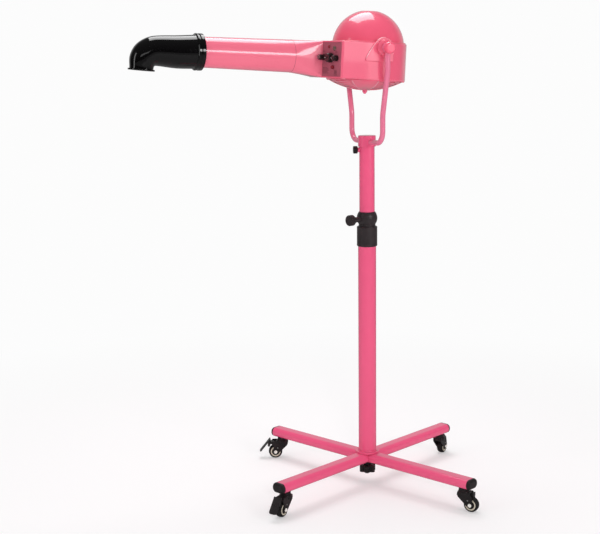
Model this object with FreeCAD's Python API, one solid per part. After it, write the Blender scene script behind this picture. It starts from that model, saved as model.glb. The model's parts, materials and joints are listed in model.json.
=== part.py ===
import FreeCAD, Part
import math
import os

# Floor-standing stand dryer: blower head in a yoke, long duct with an elbow nozzle,
# telescopic pole and a four-legged castor base. Millimetres, +Z up, nozzle towards -X.

# ---- driving dimensions -------------------------------------------------------------
# base
LEG_WIDTH, LEG_HEIGHT, LEG_CORNER, LEG_WALL = 38.5, 24.5, 11.0, 1.8
LEG_LENGTH = 324.0
LEG_MID_Z = 70.5
LEG_ANGLES = {"front_left": 204.64, "front_right": 294.64, "rear_left": 114.64, "rear_right": 24.64}
CAP_DEPTH, CAP_PLUG = 8.0, 12.0
BOSS_R = 11.0
# castors
STEM_REACH = 305.0
WHEEL_R, WHEEL_WIDTH, HUB_R, AXLE_R = 18.5, 17.0, 14.8, 3.0
TRAIL = 19.5
CASTOR_HEADINGS = {"front_left": 218.0, "front_right": 308.0, "rear_left": 160.0, "rear_right": 38.0}
BRAKED = ("front_left", "rear_left")
FORK_GAP, FORK_PLATE = 19.2, 2.5
KINGPIN_R = 4.0
PEDAL_PIVOT = (26.0, 43.0)
# pole
POLE_FOOT_Z, FLANGE_R, FLANGE_T = 83.1, 30.5, 4.0
LOWER_R, UPPER_R, TUBE_WALL = 22.5, 19.0, 2.0
LOWER_TOP = 663.8
UPPER_BOTTOM, UPPER_TOP = 270.0, 865.9
COLLAR_BOTTOM, COLLAR_SHOULDER, COLLAR_TOP = 617.6, 667.6, 704.0
COLLAR_R, NECK_R, BALL_R, BALL_Z = 25.4, 20.9, 25.7, 688.0
COLLAR_KNOB_ANGLE, COLLAR_KNOB_Z = 198.0, 686.5
THUMB_ANGLE, THUMB_Z = 163.0, 858.0
STAR_R, STAR_LOBES, STAR_TOP, STAR_BOTTOM = 21.5, 6, 55.7, 30.0
STUD_R = 4.0
# yoke
SLEEVE_R, SLEEVE_BOTTOM, SLEEVE_TOP = 22.0, 866.1, 893.0
STEM_BOTTOM = 790.0
ROD_R, ROD_Z, ARM_LOW, ARM_HIGH = 6.5, 878.0, 89.3, 116.0
ARM_CORNER, ARM_LOW_BEND, ARM_HIGH_BEND, ARM_BEND_R = 30.0, 946.0, 1050.0, 60.0
PIVOT_Z, HEAD_TILT = 1105.0, 3.0
EYE_R, EYE_T, SCREW_R = 12.0, 13.4, 3.0
PAD_R, PAD_T, PAD_FLANK_ANGLE, PAD_BULGE, PAD_EDGE_R = 25.0, 2.6, 130.0, 2.6, 1.6
# head, measured from the tilt pivot
HOUSING_R, HOUSING_TOP, HOUSING_BOTTOM, SHEET = 96.5, 12.0, -75.0, 1.6
CORNER_X, THROAT_X, THROAT_NEAR, THROAT_FAR = -107.0, -125.0, -22.0, 54.0
DOME_R, DOME_CENTRE_Z, DOME_TOP, DOME_X = 87.8, 3.0, 88.3, 3.0
PAN_R, PAN_DEPTH, PAN_WALL = 95.0, 25.0, 1.6
PAN_ARMS, PAN_ARM_START, PAN_ARM_HALF_ANGLE, PAN_ARM_RAISE = 3, 245.0, 19.0, 1.8
PAN_SLOT, PAN_SPOKE, PAN_SLOT_RADII = 4.0, 6.0, (24.0, 36.0, 48.0, 60.0, 72.0, 83.0)
PAN_SCREWS, PAN_SCREW_CIRCLE, PAN_SCREW_R, PAN_SCREW_HEAD_R = 6, 92.2, 1.5, 2.9
PAN_BOSS_R, PAN_BOSS_DROP, PAN_BOSS_T = 12.0, PAN_ARM_RAISE + 0.1, 4.8
INTAKE_R = 66.0
DUCT_Y, DUCT_Z = 20.0, -27.0
SEAM_X, DUCT_END_X = -192.0, -428.0
DUCT_SEAM_R, DUCT_END_R, DUCT_WALL = 38.9, 35.7, 1.4
# elbow nozzle
ELBOW_START_X, ELBOW_BODY_X, ELBOW_WALL = -415.0, -431.0, 2.5
BEND_X, BEND_Z, BEND_INNER_R = -524.5, -41.0, 5.0
BEND_STATIONS = ((0.0, 69.0), (22.0, 66.5), (44.0, 64.5), (66.0, 60.5), (87.0, 55.5))
MOUTH_LENGTH, LIP_R, LIP_T = 8.5, 31.2, 4.0
# motor and blower
MOTOR_R, MOTOR_BOTTOM, MOTOR_TOP, SHAFT_R = 38.0, 12.3, 66.0, 4.0
IMPELLER_R, IMPELLER_TOP, IMPELLER_BOTTOM, BLADES = 75.0, 0.0, -58.0, 20
FIT = 0.06      # radial clearance of a shaft in its hole
GAP = 0.3       # free space between faces of parts that move past each other

X, Y, Z = FreeCAD.Vector(1, 0, 0), FreeCAD.Vector(0, 1, 0), FreeCAD.Vector(0, 0, 1)
ORIGIN = FreeCAD.Vector(0, 0, 0)
nodes = {}


# ---- shape helpers ------------------------------------------------------------------
def vec(x, y, z):
    return FreeCAD.Vector(x, y, z)


def cylinder(r, h, base=ORIGIN, axis=Z):
    return Part.makeCylinder(r, h, base, axis)


def tube(r_out, r_in, h, base=ORIGIN, axis=Z):
    return cylinder(r_out, h, base, axis).cut(cylinder(r_in, h, base, axis))


def block(x, y, z):
    """Box from three (low, high) pairs."""
    return Part.makeBox(x[1] - x[0], y[1] - y[0], z[1] - z[0], vec(x[0], y[0], z[0]))


def face_of(edges):
    return Part.Face(Part.Wire(Part.__sortEdges__(edges)))


def polygon_face(points):
    return Part.Face(Part.makePolygon(points + [points[0]]))


def revolved(profile):
    """Solid of revolution about Z from (radius, height) corners."""
    face = polygon_face([vec(r, 0, z) for r, z in profile])
    return face.revolve(ORIGIN, Z, 360)


def turned(shape, angle, axis=Z, centre=ORIGIN):
    shape = shape.copy()
    shape.rotate(centre, axis, angle)
    return shape


def moved(shape, x=0.0, y=0.0, z=0.0):
    shape = shape.copy()
    shape.translate(vec(x, y, z))
    return shape


def along(shape, axis, base=ORIGIN):
    """Takes a shape made on +Z to the given axis and base."""
    shape = shape.copy()
    shape.Placement = FreeCAD.Placement(base, FreeCAD.Rotation(Z, axis)).multiply(shape.Placement)
    return shape


def direction(angle):
    a = math.radians(angle)
    return vec(math.cos(a), math.sin(a), 0)


def union(shapes):
    joined = shapes[0].fuse(list(shapes[1:]))
    return joined.removeSplitter()


def edges_where(shape, test):
    return [e for e in shape.Edges if test(e)]


def at_height(z):
    return lambda e: abs(e.BoundBox.ZMin - z) < 1e-3 and abs(e.BoundBox.ZMax - z) < 1e-3


def rounded_rectangle(w, h, r):
    """Closed wire in the YZ plane, centred on the origin: four sides and four corner arcs."""
    edges = []
    corners = ((1, 1, 0), (-1, 1, 90), (-1, -1, 180), (1, -1, 270))
    arcs = []
    for sy, sz, start in corners:
        centre = vec(0, sy * (w / 2 - r), sz * (h / 2 - r))
        a0, a1, am = (math.radians(start + t) for t in (0, 90, 45))
        p0, p1, pm = (centre + vec(0, r * math.cos(a), r * math.sin(a)) for a in (a0, a1, am))
        arcs.append((p0, p1))
        edges.append(Part.Arc(p0, pm, p1).toShape())
    for i, arc in enumerate(arcs):
        edges.append(Part.makeLine(arc[1], arcs[(i + 1) % 4][0]))
    return Part.Wire(Part.__sortEdges__(edges))


def bar(w, h, r, x0, x1):
    """Rounded bar along X, centred on the X axis."""
    return moved(Part.Face(rounded_rectangle(w, h, r)), x=x0).extrude(vec(x1 - x0, 0, 0))


# ---- base ---------------------------------------------------------------------------
def make_leg():
    """Flat-oval tube along +X with a mitred inner end that meets its neighbours at 45 degrees."""
    inner_w, inner_h = LEG_WIDTH - 2 * LEG_WALL, LEG_HEIGHT - 2 * LEG_WALL
    leg = bar(LEG_WIDTH, LEG_HEIGHT, LEG_CORNER, 0, LEG_LENGTH)
    leg = leg.cut(bar(inner_w, inner_h, LEG_CORNER - LEG_WALL, -1, LEG_LENGTH + 1))
    seam, reach = 0.15, 400.0
    wedge = polygon_face([vec(seam, 0, -50), vec(reach, seam - reach, -50), vec(reach, reach - seam, -50)])
    leg = leg.common(wedge.extrude(vec(0, 0, 100)))
    leg = leg.cut(cylinder(BOSS_R + 0.1, 100, vec(0, 0, -50)))
    leg = leg.cut(cylinder(5.05, LEG_HEIGHT / 2, vec(STEM_REACH, 0, -LEG_HEIGHT / 2 - 1)))
    return moved(leg, z=LEG_MID_Z)


def make_end_cap():
    """Domed plug with an insert that fills the tube's end."""
    cap = bar(LEG_WIDTH, LEG_HEIGHT, LEG_CORNER, LEG_LENGTH, LEG_LENGTH + CAP_DEPTH)
    rim = edges_where(cap, lambda e: e.BoundBox.XMin > LEG_LENGTH + CAP_DEPTH - 0.01)
    cap = cap.makeFillet(6.0, rim)
    inner_w, inner_h = LEG_WIDTH - 2 * LEG_WALL, LEG_HEIGHT - 2 * LEG_WALL
    start = LEG_LENGTH - CAP_PLUG
    plug = bar(inner_w, inner_h, LEG_CORNER - LEG_WALL, start, LEG_LENGTH)
    return moved(union([cap, plug]), z=LEG_MID_Z)


def make_castor_stem():
    """Threaded pin, bearing disc and riveted kingpin, on the swivel axis."""
    pin_top, disc_top, disc_bottom = 74.0, LEG_MID_Z - LEG_HEIGHT / 2 - 0.1, 51.5
    head_top, head_bottom, head_r = 39.4, 36.9, 5.5
    profile = [(0, pin_top), (5.0, pin_top), (5.0, disc_top), (13.0, disc_top), (13.0, disc_bottom),
               (KINGPIN_R, disc_bottom), (KINGPIN_R, head_top), (head_r, head_top),
               (head_r, head_bottom), (0, head_bottom)]
    return revolved(profile)


def fork_plate(braked):
    """One side plate in the XZ plane, from the crown down to the axle."""
    outline = [(-13, 49), (-14, 41), (-11, 36), (11, 15.5), (16, 11.8), (21, 11.8), (24.5, 16)]
    if braked:
        outline += [(25, 34), (30, 39), (31, 45), (27, 49)]
    else:
        outline += [(25, 31), (22, 41), (19, 49)]
    plate = polygon_face([vec(x, 0, z) for x, z in outline]).extrude(vec(0, FORK_PLATE, 0))
    corners = edges_where(plate, lambda e: e.BoundBox.YLength > FORK_PLATE - 0.01)
    return plate.makeFillet(1.8, corners)


def make_fork(braked):
    """Swivel crown with two side plates; the wheel trails along +X."""
    half = FORK_GAP / 2
    crown_bottom, web_top, crown_top = 39.7, 48.0, 51.2
    web = block((-13, 18), (-half - FORK_PLATE, half + FORK_PLATE), (crown_bottom, web_top))
    web = web.makeFillet(5.0, edges_where(web, lambda e: e.BoundBox.ZLength > 8))
    crown = cylinder(15.0, crown_top - 41.0, vec(0, 0, 41.0))
    crown = crown.makeFillet(3.0, edges_where(crown, at_height(crown_top)))
    plates = [moved(fork_plate(braked), y=y) for y in (half, -half - FORK_PLATE)]
    fork = union([web, crown] + plates)
    if not braked:
        fork = union([fork, block((17.5, 27), (-6, 6), (40, 43)), block((24, 27), (-6, 6), (40, 49))])
    fork = fork.cut(cylinder(KINGPIN_R + FIT, 30, vec(0, 0, 30)))
    axle_hole = cylinder(AXLE_R, 40, vec(TRAIL, -20, WHEEL_R), Y)
    fork = fork.cut(axle_hole)
    if braked:
        fork = fork.cut(cylinder(2.0 + FIT, 40, vec(PEDAL_PIVOT[0], -20, PEDAL_PIVOT[1]), Y))
    return fork


def make_axle():
    """Axle pin with a domed cap at each end, outside the fork plates."""
    cap_start = FORK_GAP / 2 + FORK_PLATE + 0.02
    pin = cylinder(AXLE_R, 2 * cap_start, vec(0, -cap_start, 0), Y)
    caps = []
    for side in (1, -1):
        cap = cylinder(4.6, 2.4, vec(0, side * cap_start, 0), vec(0, side, 0))
        outer = edges_where(cap, lambda e: abs(e.BoundBox.YMin - side * (cap_start + 2.4)) < 1e-3)
        caps.append(cap.makeFillet(1.6, outer))
    return moved(union([pin] + caps), x=TRAIL, z=WHEEL_R)


def make_tyre():
    """Soft tread with rounded shoulders."""
    half = WHEEL_WIDTH / 2
    tyre = tube(WHEEL_R, HUB_R, WHEEL_WIDTH, vec(0, -half, 0), Y)
    shoulders = edges_where(tyre, lambda e: e.BoundBox.ZLength > 2 * WHEEL_R - 1)
    tyre = tyre.makeFillet(3.5, shoulders)
    return moved(tyre, x=TRAIL, z=WHEEL_R)


def make_hub():
    """Wheel centre with a raised ring on each face."""
    half = WHEEL_WIDTH / 2
    profile = [(AXLE_R + FIT, half + 0.6), (6.0, half + 0.6), (6.0, half - 1.6), (8.4, half - 1.6),
               (8.4, half - 0.2), (HUB_R, half - 0.2)]
    mirrored = [(r, -z) for r, z in reversed(profile)]
    return moved(along(revolved(profile + mirrored), Y), x=TRAIL, z=WHEEL_R)


def make_pedal():
    """Brake lever on its own pin: a narrow neck between the fork ears and a wide foot tab."""
    px, pz = PEDAL_PIVOT
    neck_half, tab_half = FORK_GAP / 2 - GAP, 10.5
    pin = cylinder(2.0, FORK_GAP + 2 * FORK_PLATE, vec(px, -FORK_GAP / 2 - FORK_PLATE, pz), Y)
    barrel = cylinder(4.0, 2 * neck_half, vec(px, -neck_half, pz), Y)
    neck = polygon_face([vec(px, -neck_half, 46.6), vec(33, -neck_half, 45.6), vec(34, -neck_half, 40.5),
                         vec(px, -neck_half, 39.8)]).extrude(vec(0, 2 * neck_half, 0))
    block_half = 7.5
    heel = polygon_face([vec(x, -block_half, z) for x, z in ((32.5, 50), (39, 46), (41, 34), (36.5, 31.5),
                                                             (32.5, 40.5))]).extrude(vec(0, 2 * block_half, 0))
    foot = polygon_face([vec(x, -tab_half, z) for x, z in ((33.2, 52.4), (35.2, 53.6), (62.6, 20.0),
                                                           (60.6, 18.4))]).extrude(vec(0, 2 * tab_half, 0))
    corners = edges_where(foot, lambda e: e.BoundBox.ZMax < 21 and e.BoundBox.YLength < 0.01)
    foot = foot.makeFillet(5.0, corners)
    return union([pin, barrel, neck, heel, foot])


def make_base():
    caps, stems = [], []
    for name, angle in LEG_ANGLES.items():
        nodes["leg_" + name] = turned(make_leg(), angle)
        caps.append(turned(make_end_cap(), angle))
        stem_at = direction(angle) * STEM_REACH
        stems.append(moved(make_castor_stem(), stem_at.x, stem_at.y))
        pieces = {"fork": make_fork(name in BRAKED), "axle": make_axle(), "tyre": make_tyre(), "hub": make_hub()}
        if name in BRAKED:
            pieces["brake_pedal"] = make_pedal()
        for piece, shape in pieces.items():
            placed = turned(shape, CASTOR_HEADINGS[name])
            nodes["castor_" + name + "_" + piece] = moved(placed, stem_at.x, stem_at.y)
    nodes["leg_end_caps"] = Part.Compound(caps)
    nodes["castor_stems"] = Part.Compound(stems)
    spigot_r, spigot_top, boss_bottom = LOWER_R - TUBE_WALL, 127.0, 56.0
    foot = revolved([(STUD_R + FIT, boss_bottom), (BOSS_R, boss_bottom), (BOSS_R, POLE_FOOT_Z),
                     (FLANGE_R, POLE_FOOT_Z), (FLANGE_R, POLE_FOOT_Z + FLANGE_T - 1),
                     (FLANGE_R - 1, POLE_FOOT_Z + FLANGE_T), (spigot_r, POLE_FOOT_Z + FLANGE_T),
                     (spigot_r, spigot_top), (STUD_R + FIT, spigot_top)])
    nodes["pole_foot"] = foot
    nodes["star_knob"] = make_star_knob()


def make_star_knob():
    """Lobed knob with its stud, screwed up into the pole foot."""
    body = cylinder(STAR_R - 5, STAR_TOP - 8 - STAR_BOTTOM, vec(0, 0, STAR_BOTTOM))
    lobe_r, lobe_h = 6.5, STAR_TOP - 8 - STAR_BOTTOM
    lobes = []
    for i in range(STAR_LOBES):
        at = direction(i * 360 / STAR_LOBES) * (STAR_R - lobe_r)
        lobes.append(cylinder(lobe_r, lobe_h, vec(at.x, at.y, STAR_BOTTOM)))
    knob = union([body] + lobes)
    rims = edges_where(knob, lambda e: e.BoundBox.ZLength < 1e-3)
    knob = knob.makeFillet(1.8, rims)
    collar = cylinder(10.0, STAR_TOP - STAR_BOTTOM - 8, vec(0, 0, STAR_BOTTOM + 8))
    stud = cylinder(STUD_R, 120 - STAR_BOTTOM, vec(0, 0, STAR_BOTTOM + 1))
    return union([knob, collar, stud])


# ---- pole ---------------------------------------------------------------------------
def knurled(r, h, flutes, depth):
    """Grip cylinder on +Z with shallow flutes round it and rounded rims."""
    grip = cylinder(r, h)
    rims = edges_where(grip, lambda e: e.BoundBox.ZLength < 1e-3)
    grip = grip.makeFillet(min(1.6, h / 5), rims)
    cutters = []
    for i in range(flutes):
        at = direction(i * 360 / flutes) * (r + depth)
        cutters.append(cylinder(2 * depth, h + 2, vec(at.x, at.y, -1)))
    return grip.cut(cutters)


def make_pole():
    bottom = POLE_FOOT_Z + FLANGE_T
    nodes["lower_pole"] = tube(LOWER_R, LOWER_R - TUBE_WALL, LOWER_TOP - bottom, vec(0, 0, bottom))
    nodes["collar_bush"] = tube(LOWER_R - TUBE_WALL, UPPER_R + FIT, 63.0, vec(0, 0, LOWER_TOP - 63.0))

    # height collar: skirt over the lower pole, waist, and a ball that carries the clamp screw
    radial = direction(COLLAR_KNOB_ANGLE)
    boss_end, screw_r = 38.0, 3.0
    skirt = cylinder(COLLAR_R, COLLAR_SHOULDER - COLLAR_BOTTOM, vec(0, 0, COLLAR_BOTTOM))
    skirt = skirt.makeFillet(2.0, edges_where(skirt, lambda e: e.BoundBox.ZLength < 1e-3))
    waist = cylinder(NECK_R, 8.0, vec(0, 0, COLLAR_SHOULDER - 2))
    ball = Part.makeSphere(BALL_R, vec(0, 0, BALL_Z))
    ball = ball.common(block((-40, 40), (-40, 40), (COLLAR_SHOULDER + 2, COLLAR_TOP)))
    boss = cylinder(6.5, boss_end - 15, radial * 15 + vec(0, 0, COLLAR_KNOB_Z), radial)
    collar = union([skirt, waist, ball, boss])
    collar = collar.cut(cylinder(LOWER_R, LOWER_TOP - 600, vec(0, 0, 600)))
    collar = collar.cut(cylinder(UPPER_R + 0.2, 200, vec(0, 0, 600)))
    collar = collar.cut(cylinder(screw_r + FIT, 60, vec(0, 0, COLLAR_KNOB_Z), radial))
    nodes["height_collar"] = collar
    grip = moved(knurled(13.5, 13.0, 24, 0.5), z=48.5)
    neck = cylinder(7.0, 10.2, vec(0, 0, 38.3))
    screw = cylinder(screw_r, 29.5, vec(0, 0, UPPER_R + 0.3))
    knob = union([grip, neck, screw])
    nodes["collar_knob"] = along(knob, radial, vec(0, 0, COLLAR_KNOB_Z))

    # upper pole with the welded nut of the yoke's thumbscrew
    radial = direction(THUMB_ANGLE)
    nut = cylinder(6.0, 7.0, radial * (UPPER_R - 3) + vec(0, 0, THUMB_Z), radial)
    pole = cylinder(UPPER_R, UPPER_TOP - UPPER_BOTTOM, vec(0, 0, UPPER_BOTTOM))
    pole = union([pole, nut])
    pole = pole.cut(cylinder(UPPER_R - TUBE_WALL, 700, vec(0, 0, UPPER_BOTTOM - 1)))
    pole = pole.cut(cylinder(screw_r + FIT, 60, vec(0, 0, THUMB_Z), radial))
    nodes["upper_pole"] = pole
    grip = moved(knurled(9.3, 10.5, 16, 0.4), z=UPPER_R + 4.6)
    screw = cylinder(screw_r, 12.0, vec(0, 0, UPPER_R - TUBE_WALL + 0.1))
    nodes["thumb_screw"] = along(union([grip, screw]), radial, vec(0, 0, THUMB_Z))


# ---- yoke ---------------------------------------------------------------------------
def corner_path(points, radii):
    """Wire of straight runs joined by tangent arcs of the given radii at the inner points."""
    edges, start = [], points[0]
    for i in range(1, len(points) - 1):
        before = (points[i - 1] - points[i]).normalize()
        after = (points[i + 1] - points[i]).normalize()
        half = before.getAngle(after) / 2
        back = radii[i - 1] / math.tan(half)
        p0, p1 = points[i] + before * back, points[i] + after * back
        middle_dir = (before + after).normalize()
        pm = points[i] + middle_dir * (radii[i - 1] / math.sin(half) - radii[i - 1])
        edges.append(Part.makeLine(start, p0))
        edges.append(Part.Arc(p0, pm, p1).toShape())
        start = p1
    edges.append(Part.makeLine(start, points[-1]))
    return Part.Wire(edges)


def make_yoke():
    arm = [(ARM_LOW, ROD_Z), (ARM_LOW, ARM_LOW_BEND), (ARM_HIGH, ARM_HIGH_BEND), (ARM_HIGH, PIVOT_Z - 4)]
    points = [vec(0, -y, z) for y, z in reversed(arm)] + [vec(0, y, z) for y, z in arm]
    path = corner_path(points, [ARM_BEND_R, ARM_BEND_R, ARM_CORNER, ARM_CORNER, ARM_BEND_R, ARM_BEND_R])
    start_dir = (points[1] - points[0]).normalize()
    section = Part.Wire(Part.makeCircle(ROD_R, points[0], start_dir))
    rod = path.makePipeShell([section], True, True)
    eyes, holes = [], []
    for side in (1, -1):
        base = vec(0, side * (ARM_HIGH - EYE_T / 2), PIVOT_Z)
        eye = cylinder(EYE_R, EYE_T, base, vec(0, side, 0))
        eyes.append(eye.makeFillet(1.5, eye.Edges[:1] + eye.Edges[2:3]))
        holes.append(cylinder(SCREW_R + FIT, 40, vec(0, side * 100, PIVOT_Z), vec(0, side, 0)))
    nodes["yoke_rod"] = union([rod] + eyes).cut(holes)

    # sleeve that the rod is welded through, with the stem that turns inside the upper pole
    stem_r, bore_r = UPPER_R - TUBE_WALL - FIT, 13.0
    sleeve = revolved([(0, 884), (0, SLEEVE_TOP), (SLEEVE_R - 1.2, SLEEVE_TOP), (SLEEVE_R, SLEEVE_TOP - 1.2),
                       (SLEEVE_R, SLEEVE_BOTTOM), (stem_r, SLEEVE_BOTTOM), (stem_r, STEM_BOTTOM),
                       (bore_r, STEM_BOTTOM), (bore_r, SLEEVE_BOTTOM + 1), (10, 884)])
    cross = cylinder(ROD_R, 80, vec(0, -40, ROD_Z), Y)
    nodes["yoke_sleeve"] = sleeve.cut(cross)


# ---- blower head --------------------------------------------------------------------
def place_head(shape):
    """From the head's own frame, with the tilt pivot at its origin, to the part's frame."""
    return moved(turned(shape, HEAD_TILT, Y), z=PIVOT_Z)


def housing_outline(inset, z):
    """Plan of the scroll box: round back, flat sides, and slanted front faces to the throat."""
    r = HOUSING_R
    near, far = vec(0, -r, z), vec(0, r, z)
    corners = [far, vec(CORNER_X, r, z), vec(THROAT_X, THROAT_FAR, z), vec(THROAT_X, THROAT_NEAR, z),
               vec(CORNER_X, -r, z), near]
    edges = [Part.makeLine(a, b) for a, b in zip(corners, corners[1:])]
    edges.append(Part.Arc(near, vec(r, 0, z), far).toShape())
    wire = Part.Wire(Part.__sortEdges__(edges))
    if inset:
        wire = wire.makeOffset2D(-inset, 2, False, False, False)
    return Part.Face(wire)


def make_housing():
    height = HOUSING_TOP - HOUSING_BOTTOM
    outer = housing_outline(0, HOUSING_BOTTOM).extrude(vec(0, 0, height))
    corner_edges = edges_where(outer, lambda e: e.BoundBox.ZLength > 80 and e.BoundBox.XMax < CORNER_X + 1
                               and e.BoundBox.XMin > THROAT_X + 1)
    outer = outer.makeFillet(6.0, corner_edges)
    top_edges = edges_where(outer, lambda e: at_height(HOUSING_TOP)(e) and e.BoundBox.XMax > THROAT_X + 5)
    outer = outer.makeFillet(2.2, top_edges)
    inner = housing_outline(SHEET, HOUSING_BOTTOM + SHEET).extrude(vec(0, 0, height - 2 * SHEET))
    throat = block((THROAT_X - 5, THROAT_X + 10), (THROAT_NEAR + SHEET, THROAT_FAR - SHEET),
                   (HOUSING_BOTTOM + SHEET, HOUSING_TOP - SHEET))
    intake = cylinder(INTAKE_R, 10, vec(0, 0, HOUSING_BOTTOM - 5))
    motor_hole = cylinder(24.0, 10, vec(0, 0, HOUSING_TOP - 5))
    holes = [inner, throat, intake, motor_hole]
    for distance, height_l, _, _ in CONTROLS.values():
        holes.append(panel_cylinder(3.0 + FIT, distance, height_l, -8, 8))
    holes.append(panel_cylinder(RESET_BUTTON[2] - 1.0 + 0.15, RESET_BUTTON[0], RESET_BUTTON[1], -8, 8))
    nodes["scroll_housing"] = place_head(outer.cut(holes))


def make_dome():
    flange_z, flange_t, flange_r = HOUSING_TOP + 0.05, 1.6, 91.5
    wall, reach = 1.5, 100.0
    centre = vec(DOME_X, 0, DOME_CENTRE_Z)
    outer = Part.makeSphere(DOME_R, centre).common(block((-reach, reach), (-reach, reach), (flange_z, DOME_TOP)))
    inner = Part.makeSphere(DOME_R - wall, centre)
    inner = inner.common(block((-reach, reach), (-reach, reach), (flange_z - 1, DOME_TOP - wall)))
    outer = outer.makeFillet(2.5, edges_where(outer, at_height(DOME_TOP)))
    flange = cylinder(flange_r, flange_t, vec(DOME_X, 0, flange_z))
    nodes["dome_cover"] = place_head(union([outer, flange]).cut(inner))


def make_pan():
    """Dished intake grille: rim, rings of narrow arc slots and three raised arms down to a centre boss."""
    top = HOUSING_BOTTOM - 0.1
    sphere_r = (PAN_R ** 2 + PAN_DEPTH ** 2) / (2 * PAN_DEPTH)
    centre = vec(0, 0, top - PAN_DEPTH + sphere_r)
    below = block((-110, 110), (-110, 110), (top - 40, top))

    def bowl(r_out, r_in):
        return Part.makeSphere(r_out, centre).cut(Part.makeSphere(r_in, centre)).common(below)

    dish = bowl(sphere_r, sphere_r - PAN_WALL)
    rim = tube(PAN_R + 1.2, PAN_R - 6, 3.0, vec(0, 0, top - 3.0))
    rim = rim.makeFillet(1.0, edges_where(rim, lambda e: e.BoundBox.XMax > PAN_R and at_height(top - 3.0)(e)))
    seat = top - PAN_DEPTH - PAN_BOSS_DROP
    hub = cylinder(PAN_BOSS_R, PAN_BOSS_T, vec(0, 0, seat))
    slots, arms = [], []
    thick = bowl(sphere_r + PAN_ARM_RAISE, sphere_r - PAN_WALL / 2)
    spread = PAN_R * math.tan(math.radians(PAN_ARM_HALF_ANGLE))
    for i in range(PAN_ARMS):
        angle = PAN_ARM_START + i * 360 / PAN_ARMS
        sides = [vec(0, -4, top - 45), vec(PAN_R - 3, -spread, top - 45), vec(PAN_R - 3, spread, top - 45),
                 vec(0, 4, top - 45)]
        wedge = Part.Face(Part.makePolygon(sides + sides[:1])).extrude(vec(0, 0, 44.5))
        arms.append(thick.common(turned(wedge, angle)))
        spoke = block((0, PAN_R), (-PAN_SPOKE / 2, PAN_SPOKE / 2), (top - 60, top + 20))
        arms.append(dish.common(turned(spoke, angle + 180)))
    for r in PAN_SLOT_RADII:
        slots.append(tube(r + PAN_SLOT, r, 60, vec(0, 0, top - 50)))
    pan = union([dish.cut(slots), rim, hub] + arms)
    pan = pan.cut(cylinder(3.2, 60, vec(0, 0, top - 50)))
    screws = []
    for i in range(PAN_SCREWS):
        at = direction((i + 0.5) * 360 / PAN_SCREWS) * PAN_SCREW_CIRCLE
        pan = pan.cut(cylinder(PAN_SCREW_R, 12, vec(at.x, at.y, top - 6)))
        head = cylinder(PAN_SCREW_HEAD_R, 1.6, vec(at.x, at.y, top - 4.7))
        head = head.makeFillet(0.7, edges_where(head, at_height(top - 4.7)))
        screws.append(union([head, cylinder(PAN_SCREW_R, 3.6, vec(at.x, at.y, top - 3.6))]))
    nodes["intake_grille"] = place_head(pan)
    nodes["grille_screws"] = place_head(Part.Compound(screws))
    bolt = cylinder(3.1, 14, vec(0, 0, seat - 2))
    hexagon = polygon_face([direction(60 * i) * 6.6 + vec(0, 0, seat - 4.4) for i in range(6)])
    nut = hexagon.extrude(vec(0, 0, 4.3))
    cap = Part.makeSphere(4.6, vec(0, 0, seat - 4.0))
    nodes["grille_nut"] = place_head(union([bolt, nut, cap]))


def make_inlet_ring():
    """Bell mouth that leads the air from the grille into the impeller's eye."""
    floor = HOUSING_BOTTOM + SHEET + 0.02
    profile = [(72, floor), (72, floor + 1.5), (64, floor + 1.5), (59, IMPELLER_BOTTOM - 3.5),
               (57.5, IMPELLER_BOTTOM - 3.5), (62.5, floor)]
    nodes["inlet_ring"] = place_head(revolved(profile))


def section_wire(x, y, z, half_w, half_h, corner):
    """Closed wire in a plane of constant X: a rectangle with round corners, or a circle, in 8 edges."""
    edges = []
    for i, (sy, sz) in enumerate(((1, 1), (-1, 1), (-1, -1), (1, -1))):
        cy, cz = y + sy * (half_w - corner), z + sz * (half_h - corner)
        trim = 0 if corner < min(half_w, half_h) - 1e-6 else 22.5
        a0, a1, am = (math.radians(90 * i + t) for t in (trim, 90 - trim, 45))
        p0, p1, pm = (vec(x, cy + corner * math.cos(a), cz + corner * math.sin(a)) for a in (a0, a1, am))
        edges.append(Part.Arc(p0, pm, p1).toShape())
        b = math.radians(90 * (i + 1))
        if trim:
            side = vec(x, cy + corner * math.cos(b), cz + corner * math.sin(b))
            after = math.radians(90 * (i + 1) + trim)
            end = vec(x, cy + corner * math.cos(after), cz + corner * math.sin(after))
            edges.append(Part.Arc(p1, side, end).toShape())
        else:
            sy2, sz2 = ((-1, 1), (-1, -1), (1, -1), (1, 1))[i]
            cy2, cz2 = y + sy2 * (half_w - corner), z + sz2 * (half_h - corner)
            end = vec(x, cy2 + corner * math.cos(b), cz2 + corner * math.sin(b))
            edges.append(Part.makeLine(p1, end))
    return Part.Wire(edges)


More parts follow.
